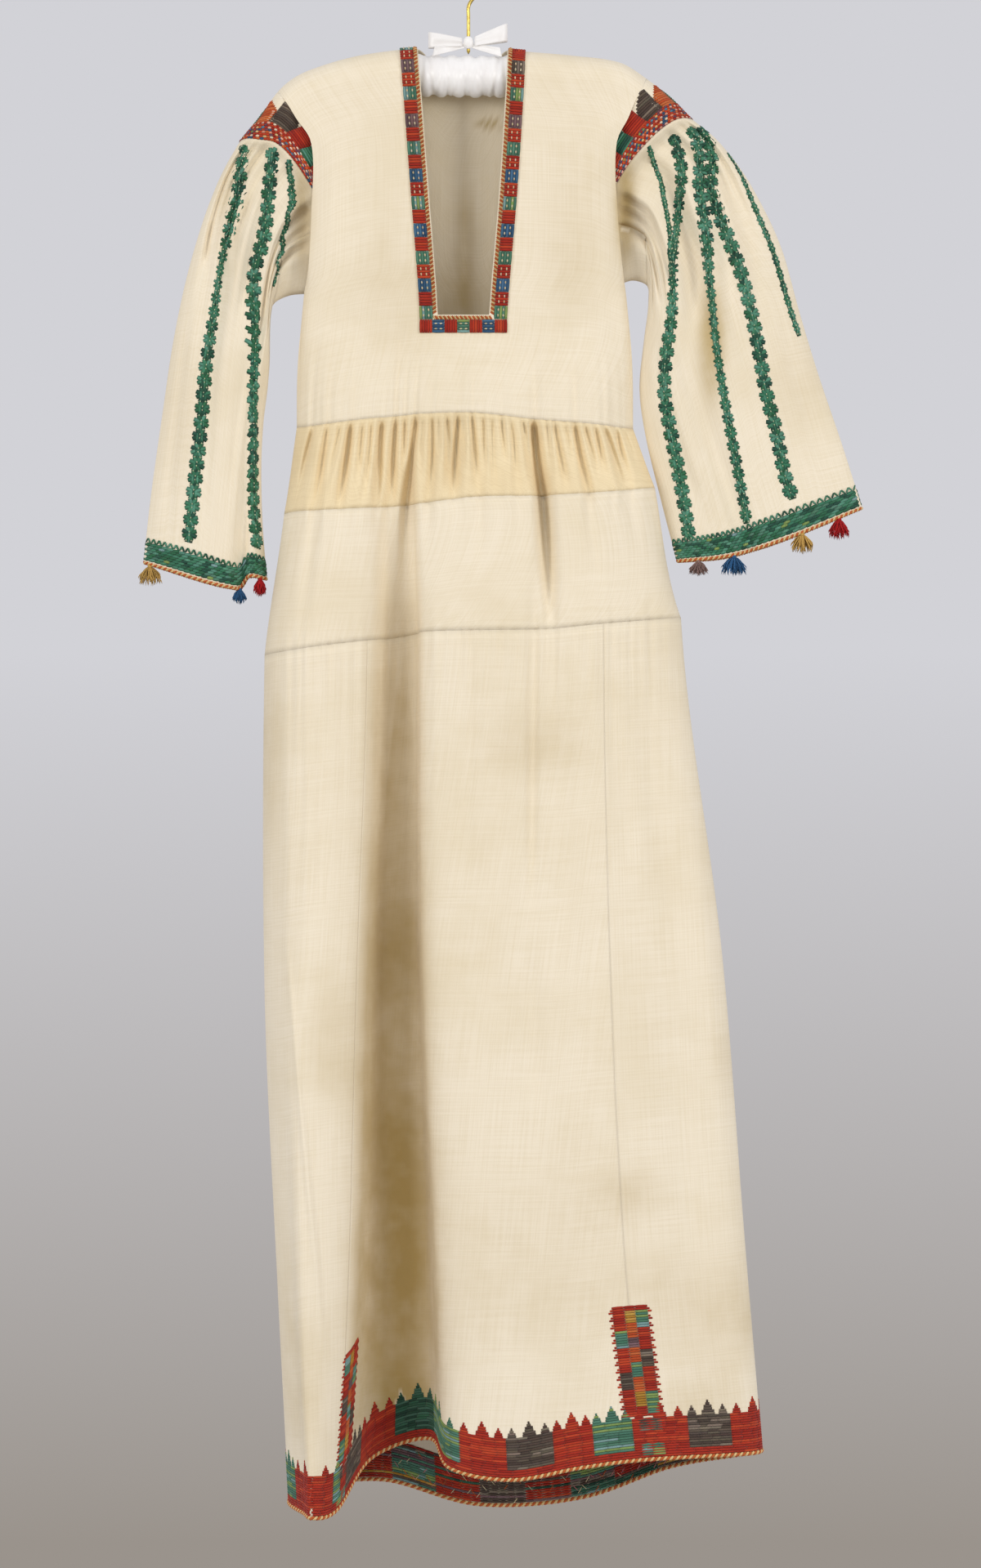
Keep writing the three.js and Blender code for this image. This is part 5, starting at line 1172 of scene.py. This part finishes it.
def spine(run, lean):
    """A column of squares up one skirt seam, with small teeth down both sides."""
    rows = []
    for k in range(int((SPINE_TOP - SPINE_FOOT) / HEM_PITCH)):
        height = SPINE_FOOT + (k + 0.5) * HEM_PITCH
        within = height < HEM_BLOCK_FOOT + HEM_BLOCK_ROWS * HEM_PITCH
        middle = run + lean * mix(4, 0, height / SPINE_TOP)
        for column, (left, right) in enumerate(SPINE_COLUMNS):
            wool = [w for c, top, foot, w in SPINE_SQUARES if c == column and foot < height <= top]
            if within and not wool:
                continue
            a, b = (left, right) if lean > 0 else (-right, -left)
            rows.append((middle + a, height, middle + b, height, 1.25, 1.3 if within else 0.9,
                         in_turn(WOOLS[wool[0] if wool else "red"])))
        if not within and k % 3 != 0 and height < SPINE_TOP - 4:
            reach = 3.6 if k % 3 == 1 else 2
            for side in (-1, 1):
                rows.append((middle + side * 16, height, middle + side * (16.5 + reach), height, 0.95,
                             0.7, in_turn(WOOLS["red"])))
    return rows


REVERSE_WOOLS = ("red", "brown", "dark", "gold", "purple")
CARRIED_YARNS = ("D98A8A", "E6D2A8", "C8642E")  # the loose yarns carried across the reverse


def hem_embroidery():
    """The red rows along the edge, the blocks with their teeth, the columns on the seams, the
    reverse on the inside of the back, and the twisted cord below them all."""
    blocks = hem_blocks()
    rows = []
    for k in range(HEM_RED_ROWS):
        rows += wool_line(0, run_at(ROUND), 1.3 + 2.3 * k, "red", 13)
    for start, end, wool in blocks:
        for k in range(HEM_BLOCK_ROWS):
            rows += wool_line(start, end, HEM_BLOCK_FOOT + HEM_PITCH * k, wool)
        wide = end - start
        teeth = TEETH if wide > 32 else ((0.28, SMALL_TOOTH), (0.72, LARGE_TOOTH)) if wide > 18 else (
            (0.5, SMALL_TOOTH),)
        for share, tooth in teeth:
            middle = mix(start, end, share) + 1.2 * (chance.random() - 0.5)
            for k, half in enumerate(tooth):
                height = HEM_BLOCK_FOOT + HEM_PITCH * (HEM_BLOCK_ROWS + k)
                rows.append((middle - half, height, middle + half, height, 1.25, 0.85,
                             in_turn(WOOLS[wool])))
    for station, lean, beside in SPINES:
        rows += spine(run_at(station) + beside, lean)
    stitches("hem_embroidery", on_hem, rows, steps=5)
    back = []
    for start, end, wool in blocks:
        if start < run_at(RIGHT_SIDE) - 60:
            continue
        for k in range(HEM_BLOCK_ROWS + HEM_RED_ROWS):
            shade = wool if chance.random() < 0.7 else in_turn(REVERSE_WOOLS)
            back += wool_line(start, end, 1.5 + 2.3 * k, shade, 8, 1.15, 0.7)
        for k in range(int((end - start) / 4)):
            foot = 4 + 26 * chance.random()
            at = start + 4 * k
            back.append((at, foot, at + 4, foot + 5 * (1 if k % 2 else -1), 0.5, 1.1,
                         in_turn(CARRIED_YARNS)))
    stitches("hem_embroidery_reverse", inside_hem, back)
    once = slice(0, int(ROUND / HEM_STEP) + 1)
    path = hem.place[once, -1] - 0.6 * hem.normal[once, -1] + np.array((0, 0, -1.7))
    twisted_cord("hem_twisted_cord", path, hem.normal[once, -1], 6, 1.25, "hem_cord")


# ---------------------------------------------------------------- the neck's embroidery

NECK_ROUND = CHEST_RADIUS * np.pi / 2  # the length of the edge that lies over the hanger
NECK_SQUARE, NECK_SQUARE_IN = 12, 4.5  # a square's width, and its distance from the opening
WHIPPING_PITCH = 1.9
NECK_SQUARES = {  # from the shoulder down, and across the foot from the left
    "left": "green red purple red green red purple red green red blue red green red blue red green"
            " red blue red green",
    "right": "red red brown red green red purple red green red blue red green red blue red green red"
             " blue red green",
    "foot": "red blue red green red blue red"}


def on_neck(side):
    """Along is the distance from the shoulder's crest down the neck's edge, out is the distance
    from that edge."""
    sign = -1 if side == "left" else 1

    def place(along, out):
        turn = np.clip(along / CHEST_RADIUS, 0, np.pi / 2)
        drop = CHEST_RADIUS * (1 - np.cos(turn)) + np.maximum(along - NECK_ROUND, 0)
        x = neck[side](shoulder_line(neck[side](0.0)) + drop) + sign * out
        down = shoulder_line(x) + drop
        y = -chest_depth(CHEST_RADIUS * np.sin(turn), down)
        return spot(x, y - NECK_LIFT * np.sin(turn), down - NECK_LIFT * np.cos(turn))

    def lay(along, out):
        here = place(along, out)
        normal = np.cross(place(along + 0.5, out) - here, place(along, out + 0.5) - here)
        return here, unit(sign * normal)
    return lay


def on_neck_foot(x, out):
    """Out is the distance down from the foot of the opening."""
    down = NECK_BOTTOM + out
    place = spot(x, -chest_depth(CHEST_RADIUS, down) - NECK_LIFT, down)
    return place, np.broadcast_to(np.array((0.0, -1.0, 0.0)), place.shape)


def neck_square(along, out, long, wide, wool, lengthwise):
    """A filled square with two pairs of small light dots. Its wool runs from edge to edge."""
    rows = []
    for k in range(5):
        share = (k + 0.5) / 5
        if lengthwise:
            at = out + wide * share
            rows.append((along + 0.2, at, along + long - 0.2, at, wide / 8.8, 0.85, in_turn(WOOLS[wool])))
        else:
            at = along + long * share
            rows.append((at, out - 0.1, at, out + wide + 0.1, long / 8.8, 0.85, in_turn(WOOLS[wool])))
    if wool != "red" or chance.random() < 0.45:
        for a, b in ((0.3, 0.3), (0.3, 0.7), (0.7, 0.3), (0.7, 0.7)):
            x, y = along + long * a, out + wide * b
            rows.append((x - 1.2, y, x + 1.2, y, 0.85, 1.6, in_turn(WOOLS["pale"])))
    return rows


def whipping(start, end, out):
    """Slanting stitches in two colours along the inner edge, like a twisted cord."""
    rows = []
    for k in range(int((end - start) / WHIPPING_PITCH)):
        at = start + WHIPPING_PITCH * k
        rows.append((at - 0.6, out, at + 1.6, out + 3.4, 0.85, 1.3, CORD_TINTS[(k + 1) % 2]))
    return rows


def neck_embroidery():
    """Squares and whipping down both edges of the opening and across its foot."""
    for side in ("left", "right"):
        wools = NECK_SQUARES[side].split()
        total = NECK_ROUND + NECK_BOTTOM - shoulder_line(neck[side](0.0)) - CHEST_RADIUS
        long = (total + NECK_SQUARE_IN) / len(wools)
        rows = whipping(0, total + 1, 1)
        for k, wool in enumerate(wools):
            rows += neck_square(k * long, NECK_SQUARE_IN, long, NECK_SQUARE, wool, k % 2 == 0)
        stitches("neck_stitches_" + side, on_neck(side), rows)
    left, right = (neck[side](330.0) + sign * NECK_STRIP_WIDTH for side, sign in (("left", -1), ("right", 1)))
    wools = NECK_SQUARES["foot"].split()
    wide = (right - left) / len(wools)
    rows = whipping(left + 13, right - 13, 1)
    for k, wool in enumerate(wools):
        rows += neck_square(left + k * wide, NECK_SQUARE_IN, wide, NECK_SQUARE, wool, k % 2 == 1)
    stitches("neck_stitches_foot", on_neck_foot, rows)


# ---------------------------------------------------------------- the sleeves' embroidery

# Guides of the rosette stripes on the front of each sleeve: x, down and the width that shows.
STRIPES = {
    "left": (((-203, 160, 1), (-209, 213, 1), (-219, 250, 0.9), (-227, 286, 0.5), (-234, 332, 0.8),
              (-241.5, 382, 1), (-244.5, 426, 1), (-250.5, 477, 1), (-256, 550, 1)),
             ((-178, 173, 1), (-184, 225, 1), (-188, 259, 1), (-195, 289, 1), (-196.5, 323, 1),
              (-195, 358, 1), (-197, 400, 1), (-197, 446, 1), (-196.5, 486, 1), (-192, 552, 1)),
             ((-160, 181, 0.6), (-167, 240, 0.5), (-175, 285, 0.4), (-180, 310, 0.35))),
    "right": (((158, 169, 0.35), (175, 217, 0.35), (185, 264, 0.35), (184.5, 300, 0.35)),
              ((187, 160, 1), (194, 213, 0.9), (191, 260, 0.6), (184.5, 324, 0.8), (180, 362, 1),
               (180, 400, 1), (184.5, 429, 1), (189, 455, 1), (194, 485, 1), (204, 538, 1)),
              ((201, 152, 1), (210, 210, 1), (215, 250, 1), (220, 292, 0.8), (223, 317, 0.6),
               (229, 365, 0.6), (235, 409, 0.7), (241, 443, 0.8), (246, 473, 0.8), (256, 528, 0.8)),
              ((209, 153, 1), (220, 210, 1), (228, 237, 1), (241, 264, 1), (251, 297, 1),
               (259, 328, 1), (265, 360, 1), (273, 400, 1), (282, 434, 1), (290, 473, 1),
               (298, 503, 1)),
              ((236, 176, 0.5), (262, 230, 0.5), (286, 290, 0.5), (305, 345, 0.5)))}
ROSETTE_PITCH = 12.8
ROSETTE_REACH = 7.4
MOST_TURN, MOST_SHARE = 0.085, 0.022  # how far a rosette may reach where the cloth is folded
FOLD_TURN = 0.04  # how near to a fold a stripe may run
SMOOTHED = 11  # points of a track that are smoothed together
CUFF_ROWS = 7
CUFF_STITCH = 6
ROSETTE_DOT = "C9D2AC"


def nearest(whole, x, down):
    """The turn and share of a sleeve's grid that lie nearest to x and down on its front, kept off
    the two folds."""
    front = whole.us <= 1
    across, places = whole.us[front], whole.place[front]
    at_fold = np.minimum(across, 1 - across)[:, None] < FOLD_TURN
    gap = np.hypot(places[..., 0] - x, -places[..., 2] - down) + 40 * at_fold
    i, j = np.unravel_index(np.argmin(gap), gap.shape)
    return across[i], whole.vs[j]


def rosette(width, shade):
    """Four petals of two lobes each round a filled middle, in millimetres along and across the
    stripe, with four light dots on top."""
    rows = []
    for k in range(8):
        angle = np.pi * (k + 0.5) / 4
        along, across = np.cos(angle), np.sin(angle) * width
        reach = ROSETTE_REACH * (1 if k % 2 else 0.94)
        rows.append((0.8 * along, 0.8 * across, reach * along, reach * across, 2.3 * max(width, 0.6), 0.9,
                     in_turn(WOOLS["leaf"]) if chance.random() < 0.5 else shade))
    for across in (-2.2, 0, 2.2):
        rows.append((-4.6, across * width, 8.6, across * width, 1.6, 0.8, in_turn(WOOLS["leaf"])))
    for along, across in ((-1.7, 0), (1.7, 0), (6.4, 2.4), (6.4, -2.4)):
        rows.append((along - 0.7, across * width, along + 0.7, across * width, 0.7, 1.9, ROSETTE_DOT))
    return rows


def stripe_rows(whole, track, widths):
    """Rosettes at an even pitch down a track of (turn, share) points. Around each one, its own
    millimetres are turned into turn and share by the slopes of the cloth there."""
    place, _ = lie_on(whole, track[:, 0], track[:, 1])
    run = np.concatenate([[0], np.cumsum(np.linalg.norm(np.diff(place, axis=0), axis=-1))])
    rows = []
    step_u, step_v = 0.045, 0.012
    for k, at in enumerate(np.arange(ROSETTE_PITCH * 0.4, run[-1] - 3, ROSETTE_PITCH)):
        u, v = np.interp(at, run, track[:, 0]), np.interp(at, run, track[:, 1])
        u2, v2 = np.interp(at + 4, run, track[:, 0]), np.interp(at + 4, run, track[:, 1])
        width = np.interp(at, run, widths)
        here, _ = lie_on(whole, np.array([u]), np.array([v]))
        us, vs = np.array([u - step_u, u + step_u, u, u]), np.array([v, v, v - step_v, v + step_v])
        beside, _ = lie_on(whole, np.clip(us, 0, 2), np.clip(vs, 0, 1))
        along_u, along_v = (beside[1] - beside[0]) / (2 * step_u), (beside[3] - beside[2]) / (2 * step_v)
        normal = unit(np.cross(along_v, along_u))
        down = unit((lie_on(whole, np.array([u2]), np.array([v2]))[0] - here)[0])
        across = np.cross(normal, down)
        slopes = np.linalg.pinv(np.stack([along_u, along_v], axis=1))
        to_u, to_v = slopes @ np.stack([down, across], axis=1)
        shade = in_turn(WOOLS["leaf"])
        for a0, b0, a1, b1, half, lift, colour in rosette(width, shade):
            du0, du1 = np.clip((to_u @ (a0, b0), to_u @ (a1, b1)), -MOST_TURN, MOST_TURN)
            dv0, dv1 = np.clip((to_v @ (a0, b0), to_v @ (a1, b1)), -MOST_SHARE, MOST_SHARE)
            rows.append((u + du0, v + dv0, u + du1, v + dv1, half, lift, colour))
    return rows


def sleeve_embroidery(side):
    """Rosette stripes down the front and their mirror images behind, the cuff's rows with their
    small points, and the twisted cord at its edge."""
    whole = laid_out(front_out(side), AROUND, dense(0, 1, 0.01), closed=True)
    soft = np.hanning(SMOOTHED) / np.hanning(SMOOTHED).sum()
    rows = []
    for guide in STRIPES[side]:
        found = np.array([(*nearest(whole, x, down), width) for x, down, width in guide])
        fine = np.linspace(0, len(guide) - 1, 8 * len(guide))
        turns, shares, widths = (np.interp(fine, np.arange(len(guide)), found[:, k]) for k in range(3))
        shares = np.clip(shares, 0.012, 1 - CUFF_SHARE - 0.01)
        track = np.stack([np.convolve(np.pad(values, SMOOTHED // 2, "edge"), soft, "valid")
                          for values in (turns, shares)], axis=-1)
        rows += stripe_rows(whole, track, widths)
        behind = np.stack([2 - track[:, 0] if side == "left" else -track[:, 0], track[:, 1]], axis=-1)
        behind[:, 0] = behind[:, 0] % 2
        rows += stripe_rows(whole, behind, widths)
    around = whole.uv[-1, -2, 0] / MM
    count = int(around / CUFF_STITCH)
    for k in range(CUFF_ROWS):
        share = mix(1 - CUFF_SHARE + 0.004, 0.995, (k + 0.5) / CUFF_ROWS)
        for n in range(count):
            a = 2 * (n + 0.5 * (k % 2)) / count
            wool = "leaf" if chance.random() < 0.9 else "green"
            if a + 2 / count < 2:
                rows.append((a, share, a + 2.02 / count, share - 0.002, 1.7, 0.85, in_turn(WOOLS[wool])))
    foot = 1 - CUFF_SHARE + 0.002
    for n in range(count):
        for start, end in ((0.15, 0.9), (1.75, 1.0)):
            rows.append((2 * n / count + start / count, foot, 2 * n / count + end / count,
                         foot - 0.012, 0.9, 0.8, in_turn(WOOLS["leaf"])))
    stitches("sleeve_stitches_" + side, lambda u, v: lie_on(whole, u, v), rows, steps=3)
    path = whole.place[:, -1] - 0.5 * whole.normal[:, -1] + np.array((0, 0, -0.7))
    twisted_cord("cuff_twisted_cord_" + side, path, whole.normal[:, -1], 5, 1.0)


# ---------------------------------------------------------------- the shoulders' embroidery

LEAVES = ("leaf", "orange", "brown", "red", "leaf", "red")  # from the shoulder's crest down
LEAF_PITCH = 19.5
LEAF_ROWS = 11
LEAF_HALF = 9.9
BAND_LINES = 8
BAND_GROUND = ("B5331F", "C8421E", "A92A1A", "C8421E", "7B4A58", "3E5A78", "D0622E")
BAND_DOTS = ("F0B8A0", "F2DCC0", "E8A080", "F2DCC0", "8FA860", "5C8AA0", "E8C68A")


def leaf_rows(middle_of, wool, centre, sign):
    """A block beside the seam whose upper inner corner runs out to a point. Rows of wool lie
    along the seam: full near it, then shorter from the lower side."""
    rows = []
    for k in range(LEAF_ROWS):
        out = 0.6 + 2.3 * k
        low = LEAF_HALF if k < 5 else mix(LEAF_HALF, -8, ((k - 4) / 6.5) ** 1.3)
        high = LEAF_HALF + 2.6 * (k / 10) ** 2
        rows.append((centre - sign * high, out, centre + sign * low, out, 1.35, 1.0, in_turn(WOOLS[wool])))
    return [row for row in rows if row[1] < middle_of(row[0])]


def shoulder_embroidery(side):
    """Leaves on the shoulder piece and the many-coloured band below them."""
    leaf_grid, band_grid = grids["shoulder_" + side], grids["sleeve_band_" + side]
    seam_u, far_u = (0, 1) if side == "left" else (1, 0)
    run = leaf_grid.uv[0 if side == "left" else -1, :, 1] / -MM
    top = np.interp(0, leaf_grid.vs, run)
    wide = leaf_grid.uv[-1, :, 0] / MM

    def on_leaves(along, out):
        v = np.interp(along + top, run, leaf_grid.vs)
        share = np.clip(out / np.maximum(np.interp(v, leaf_grid.vs, wide), 1), 0, 0.97)
        return lie_on(leaf_grid, mix(seam_u, far_u, share), v)

    def room(along):
        return np.interp(np.interp(along + top, run, leaf_grid.vs), leaf_grid.vs, wide) - 1

    rows = []
    for sign in (-1, 1):
        for k, wool in enumerate(LEAVES):
            if k or sign > 0:
                rows += leaf_rows(room, wool, sign * LEAF_PITCH * k, sign)
    stitches("shoulder_leaves_" + side, on_leaves, rows)
    band_run = band_grid.uv[-1, :, 1] / -MM
    count = int(band_run[-1] / 3.0)
    rows = []
    for k in range(BAND_LINES):
        for n in range(count):
            along = band_run[-1] * (n + 0.5 * (k % 2)) / count
            v0, v1 = np.interp((along, along + 2.9), band_run, band_grid.vs)
            colour = in_turn(BAND_GROUND)
            if k % 2 == 1 and (n + k // 2) % 2 == 0:
                colour = in_turn(BAND_DOTS if k < BAND_LINES - 2 else BAND_DOTS[:3])
            u = (k + 0.5) / BAND_LINES
            rows.append((u, v0, u, v1, 1.3, 0.95, colour))
    stitches("shoulder_band_" + side, lambda u, v: lie_on(band_grid, u, v), rows)


# ---------------------------------------------------------------- tassels and hanger

TASSEL_STRANDS = 90
STRAND = np.array([0, 1, 1, 1, 0.95, 0.85, 0]) * 0.5  # its radius at each step


def tassel(name, side, turn, length, spread, colour, slot):
    """A small wound head with a fan of loose wool: each strand leaves sideways, then falls."""
    seat = SLEEVE_POINTS[side](np.array(turn), np.array(1.0)) + np.array((0, 0.8, -2.4))
    sideways = 2 * chance.random(TASSEL_STRANDS) - 1
    forward = (2 * chance.random(TASSEL_STRANDS) - 1) * np.sqrt(1 - 0.8 * sideways ** 2)
    fall = length * (1 - 0.35 * chance.random(TASSEL_STRANDS) - 0.12 * np.abs(sideways))
    t = np.linspace(0, 1, len(STRAND))[None, :]
    swing = 1 - (1 - t) ** 1.5
    bend = 0.9 * np.sin(2.5 * np.pi * t + 6.3 * chance.random((TASSEL_STRANDS, 1))) * t
    x = sideways[:, None] * mix(1.4, spread * 0.95, swing) + bend
    y = forward[:, None] * mix(1.2, spread * 0.5, swing) + bend * 0.6
    paths = seat + np.stack([x, y, -fall[:, None] * t ** 1.1 - 0.4], axis=-1)
    radius = np.broadcast_to(STRAND, paths.shape[:2])
    turn_to = np.linspace(0, np.pi, 9)
    head = seat + np.stack([0 * turn_to, 0 * turn_to, 2.2 * np.cos(turn_to) - 0.4], axis=-1)
    ball = 2.3 * np.sin(turn_to)
    ball[[0, -1]] = 0
    tints = np.clip(linear(colour) * (0.7 + 0.6 * chance.random((TASSEL_STRANDS, 1))), 0, 1)
    places, faces, uv = tubes(paths, radius, 4, (0.31, 0.95, 0.07))
    round_places, round_faces, round_uv = tubes(head[None], ball[None], 12, (0, 1, 0))
    colours = np.concatenate([np.repeat(tints, len(places) // len(tints), axis=0),
                              np.repeat(linear(colour)[None], len(round_places), axis=0)])
    piece = closed_up(mesh_object(name + "_wool", np.concatenate([places, round_places]),
                                  np.concatenate([faces, round_faces + len(places)]), WOOL,
                                  np.concatenate([uv, round_uv]), colours=colours))
    finished(piece, name)


PAD_GATHERS = (  # x, depth, width and lean of the cover's soft gathers
    (-164, 1.6, 4, 2), (-148, 2.2, 4, -3), (-133, 1.8, 3.5, 2), (-117, 2.4, 4, -2), (-101, 1.8, 4, 3),
    (-86, 2.2, 3.5, -2), (-71, 1.7, 4, 2), (-57, 2.3, 3.5, -3), (-43, 1.7, 2.6, 2), (-35, 2.4, 2.4, -2),
    (-27, 1.6, 2, 3), (-20, 2.6, 2.6, -1), (-12, 1.8, 2.2, 2), (-5, 2.4, 2.4, -2), (3, 1.7, 2, 2),
    (10, 2.6, 2.6, -3), (18, 1.7, 2.2, 1), (26, 2.4, 2.6, 3), (34, 1.8, 2.4, -2), (46, 2.2, 3.5, 2),
    (61, 1.8, 4, -2), (77, 2.3, 3.5, 3), (92, 1.8, 4, -3), (108, 2.3, 4, 2), (124, 1.8, 3.5, -2),
    (140, 2.2, 4, 2), (156, 1.6, 4, -2))


def pad_point(angle, share):
    """The padded arm: a round section along the hanger, thinned at both ends, with the cover's
    gathers taken out of it all round."""
    x = mix(PAD_ENDS[0], PAD_ENDS[1], share)
    radius = PAD_RADIUS * np.sqrt(np.maximum(1 - np.abs(2 * share - 1) ** 5, 0))
    towards_end = (x - (PAD_ENDS[0] + PAD_ENDS[1]) / 2) / PAD_ENDS[1]
    in_neck = 1 - ease((np.abs(x + 5) - 25) / 35)
    axis = shoulder_line(x) + 2.5 + radius + 8 * towards_end ** 4 + 3 * in_neck
    sunk = np.zeros(np.broadcast(angle, share).shape)
    for middle, deep, wide, lean in PAD_GATHERS:
        bent = x - middle - lean * np.sin(angle)
        sunk += deep * np.exp(-(bent / wide) ** 2) * mix(0.6, 1, ease(0.5 - 0.5 * np.sin(angle)))
    inner = radius - sunk * np.clip(radius / PAD_RADIUS, 0, 1)
    return spot(x + 0 * angle, -inner * np.cos(angle), axis - inner * np.sin(angle))


def satin_piece(name, node, point, us, vs):
    """A padded piece on a closed grid, with its poles merged."""
    grid = laid_out(point, us, vs, closed=True)
    piece = finished(closed_up(from_grid(name, grid, SATIN)), node)


def knot_point(angle, share):
    """A knot pulled tight: an upright egg with folds that run round it."""
    polar = np.pi * share
    fold = 1 - 0.1 * np.abs(np.sin(3 * angle + 2.2 * share)) * np.sin(polar)
    across = BOW_KNOT * np.sin(polar) * fold
    return spot(across * np.sin(angle), BOW_Y - 0.75 * across * np.cos(angle),
                BOW_DOWN - 1.15 * BOW_KNOT * np.cos(polar))


def bow_loop_point(side, length, rise, width):
    """A ribbon bent back on itself beside the knot, pinched where it enters it."""
    def point(turn, across):
        swing = np.sin(np.pi * turn)
        x = side * (BOW_KNOT + 0.6 + length * (swing - 0.1) / 0.9)
        fold = 0.7 * np.sin(3 * np.pi * across + 1) * (1 - swing) + 0.35 * np.sin(5 * across + 4 * turn)
        y = BOW_Y - side * 5.5 * np.sin(2 * np.pi * turn) + fold
        return spot(x, y, BOW_DOWN - rise * swing + (across - 0.5) * width * mix(0.45, 1, swing))
    return point


def bow_tail_point(side, length, drop):
    """A ribbon's end from under the knot, running out and down with a soft wave, and widening."""
    def point(across, along):
        down = mix(BOW_DOWN + 3, BOW_DOWN + drop - 4, along) + (across - 0.5) * mix(4, 9, along)
        y = BOW_Y - 7 * along + 0.9 * np.sin(2 * np.pi * along) + 0.6 * np.sin(4 * across)
        return spot(side * mix(3.4, length + 2, along) + 2 * side * (across - 0.5) * along, y, down)
    return point


HOOK_BEND = 17.6
HOOK_STEM = ((0, 0, -STEM_FOOT), (0, 0, -66), (0, 0, -52), (0, 0, -44), (3.2, 0, -37.5))
LOOPS = (  # name, side, length, rise, width, flat width in metres
    ("bow_loop_left", -1, 31, 2, 15, 0.0155), ("bow_loop_right", 1, 30, 9, 17, 0.017))
TAILS = (("bow_tail_left", -1, 30, 13), ("bow_tail_right", 1, 28, 14))  # name, side, length, drop


def hang():
    """The padded arm, the wire hook and the bow."""
    ends = cosine(0, 0.04, 6)[:-1]
    satin_piece("hanger_pad_cover", "hanger_pad", pad_point, dense(0, 2 * np.pi, 0.16),
                joined(ends, dense(0.04, 0.96, 0.0035), 1 - ends))
    satin_piece("bow_knot_ribbon", "bow_knot", knot_point, dense(0, 2 * np.pi, 0.2),
                dense(0, 1, 0.06))
    for name, side, length, rise, width, flat_width in LOOPS:
        grid = laid_out(bow_loop_point(side, length, rise, width), dense(0.032, 0.968, 0.02),
                        dense(0, 1, 0.1))
        ribbon(name, grid)
    for name, side, length, drop in TAILS:
        grid = laid_out(bow_tail_point(side, length, drop), dense(0, 1, 0.12), dense(0, 1, 0.06))
        ribbon(name, grid)
    bend = np.linspace(-0.25, 1.12, 60)
    curve = np.stack([HOOK_BEND * np.cos(np.pi * bend), 0 * bend,
                      -16 + HOOK_BEND * np.sin(np.pi * bend)], -1)
    path = smooth_path(np.concatenate([np.array(HOOK_STEM, float), curve[::4]]), 8)
    radius = np.full((1, len(path)), WIRE / 2)
    radius[0, [0, -1]] = 0
    places, faces, uv = tubes(path[None], radius, 14, (0, 1, 0))
    finished(closed_up(mesh_object("hook_wire", places, faces, BRASS, uv)), "hanger_hook")


def smooth_path(points, steps):
    """A smooth curve through points: the uniform spline that passes through each of them."""
    padded = np.concatenate([2 * points[:1] - points[1:2], points, 2 * points[-1:] - points[-2:-1]])
    t = (np.arange(steps) / steps)[:, None]
    parts = []
    for a, b, c, d in zip(padded[:-3], padded[1:-2], padded[2:-1], padded[3:]):
        square, cube = 2 * a - 5 * b + 4 * c - d, 3 * b - a - 3 * c + d
        parts.append(b + t * ((c - a) / 2 + t * (square / 2 + t * cube / 2)))
    return np.concatenate(parts + [points[-1:]])


def ribbon(name, grid):
    """A single ribbon with a wall of half a millimetre, hung from the bow's knot."""
    piece = from_grid(name + "_ribbon", grid, SATIN)
    walled(piece, 0.5, 0)
    finished(piece, name)


hem_embroidery()
neck_embroidery()
for side in ("left", "right"):
    sleeve_embroidery(side)
    shoulder_embroidery(side)
for row in TASSELS:
    tassel(*row)
hang()
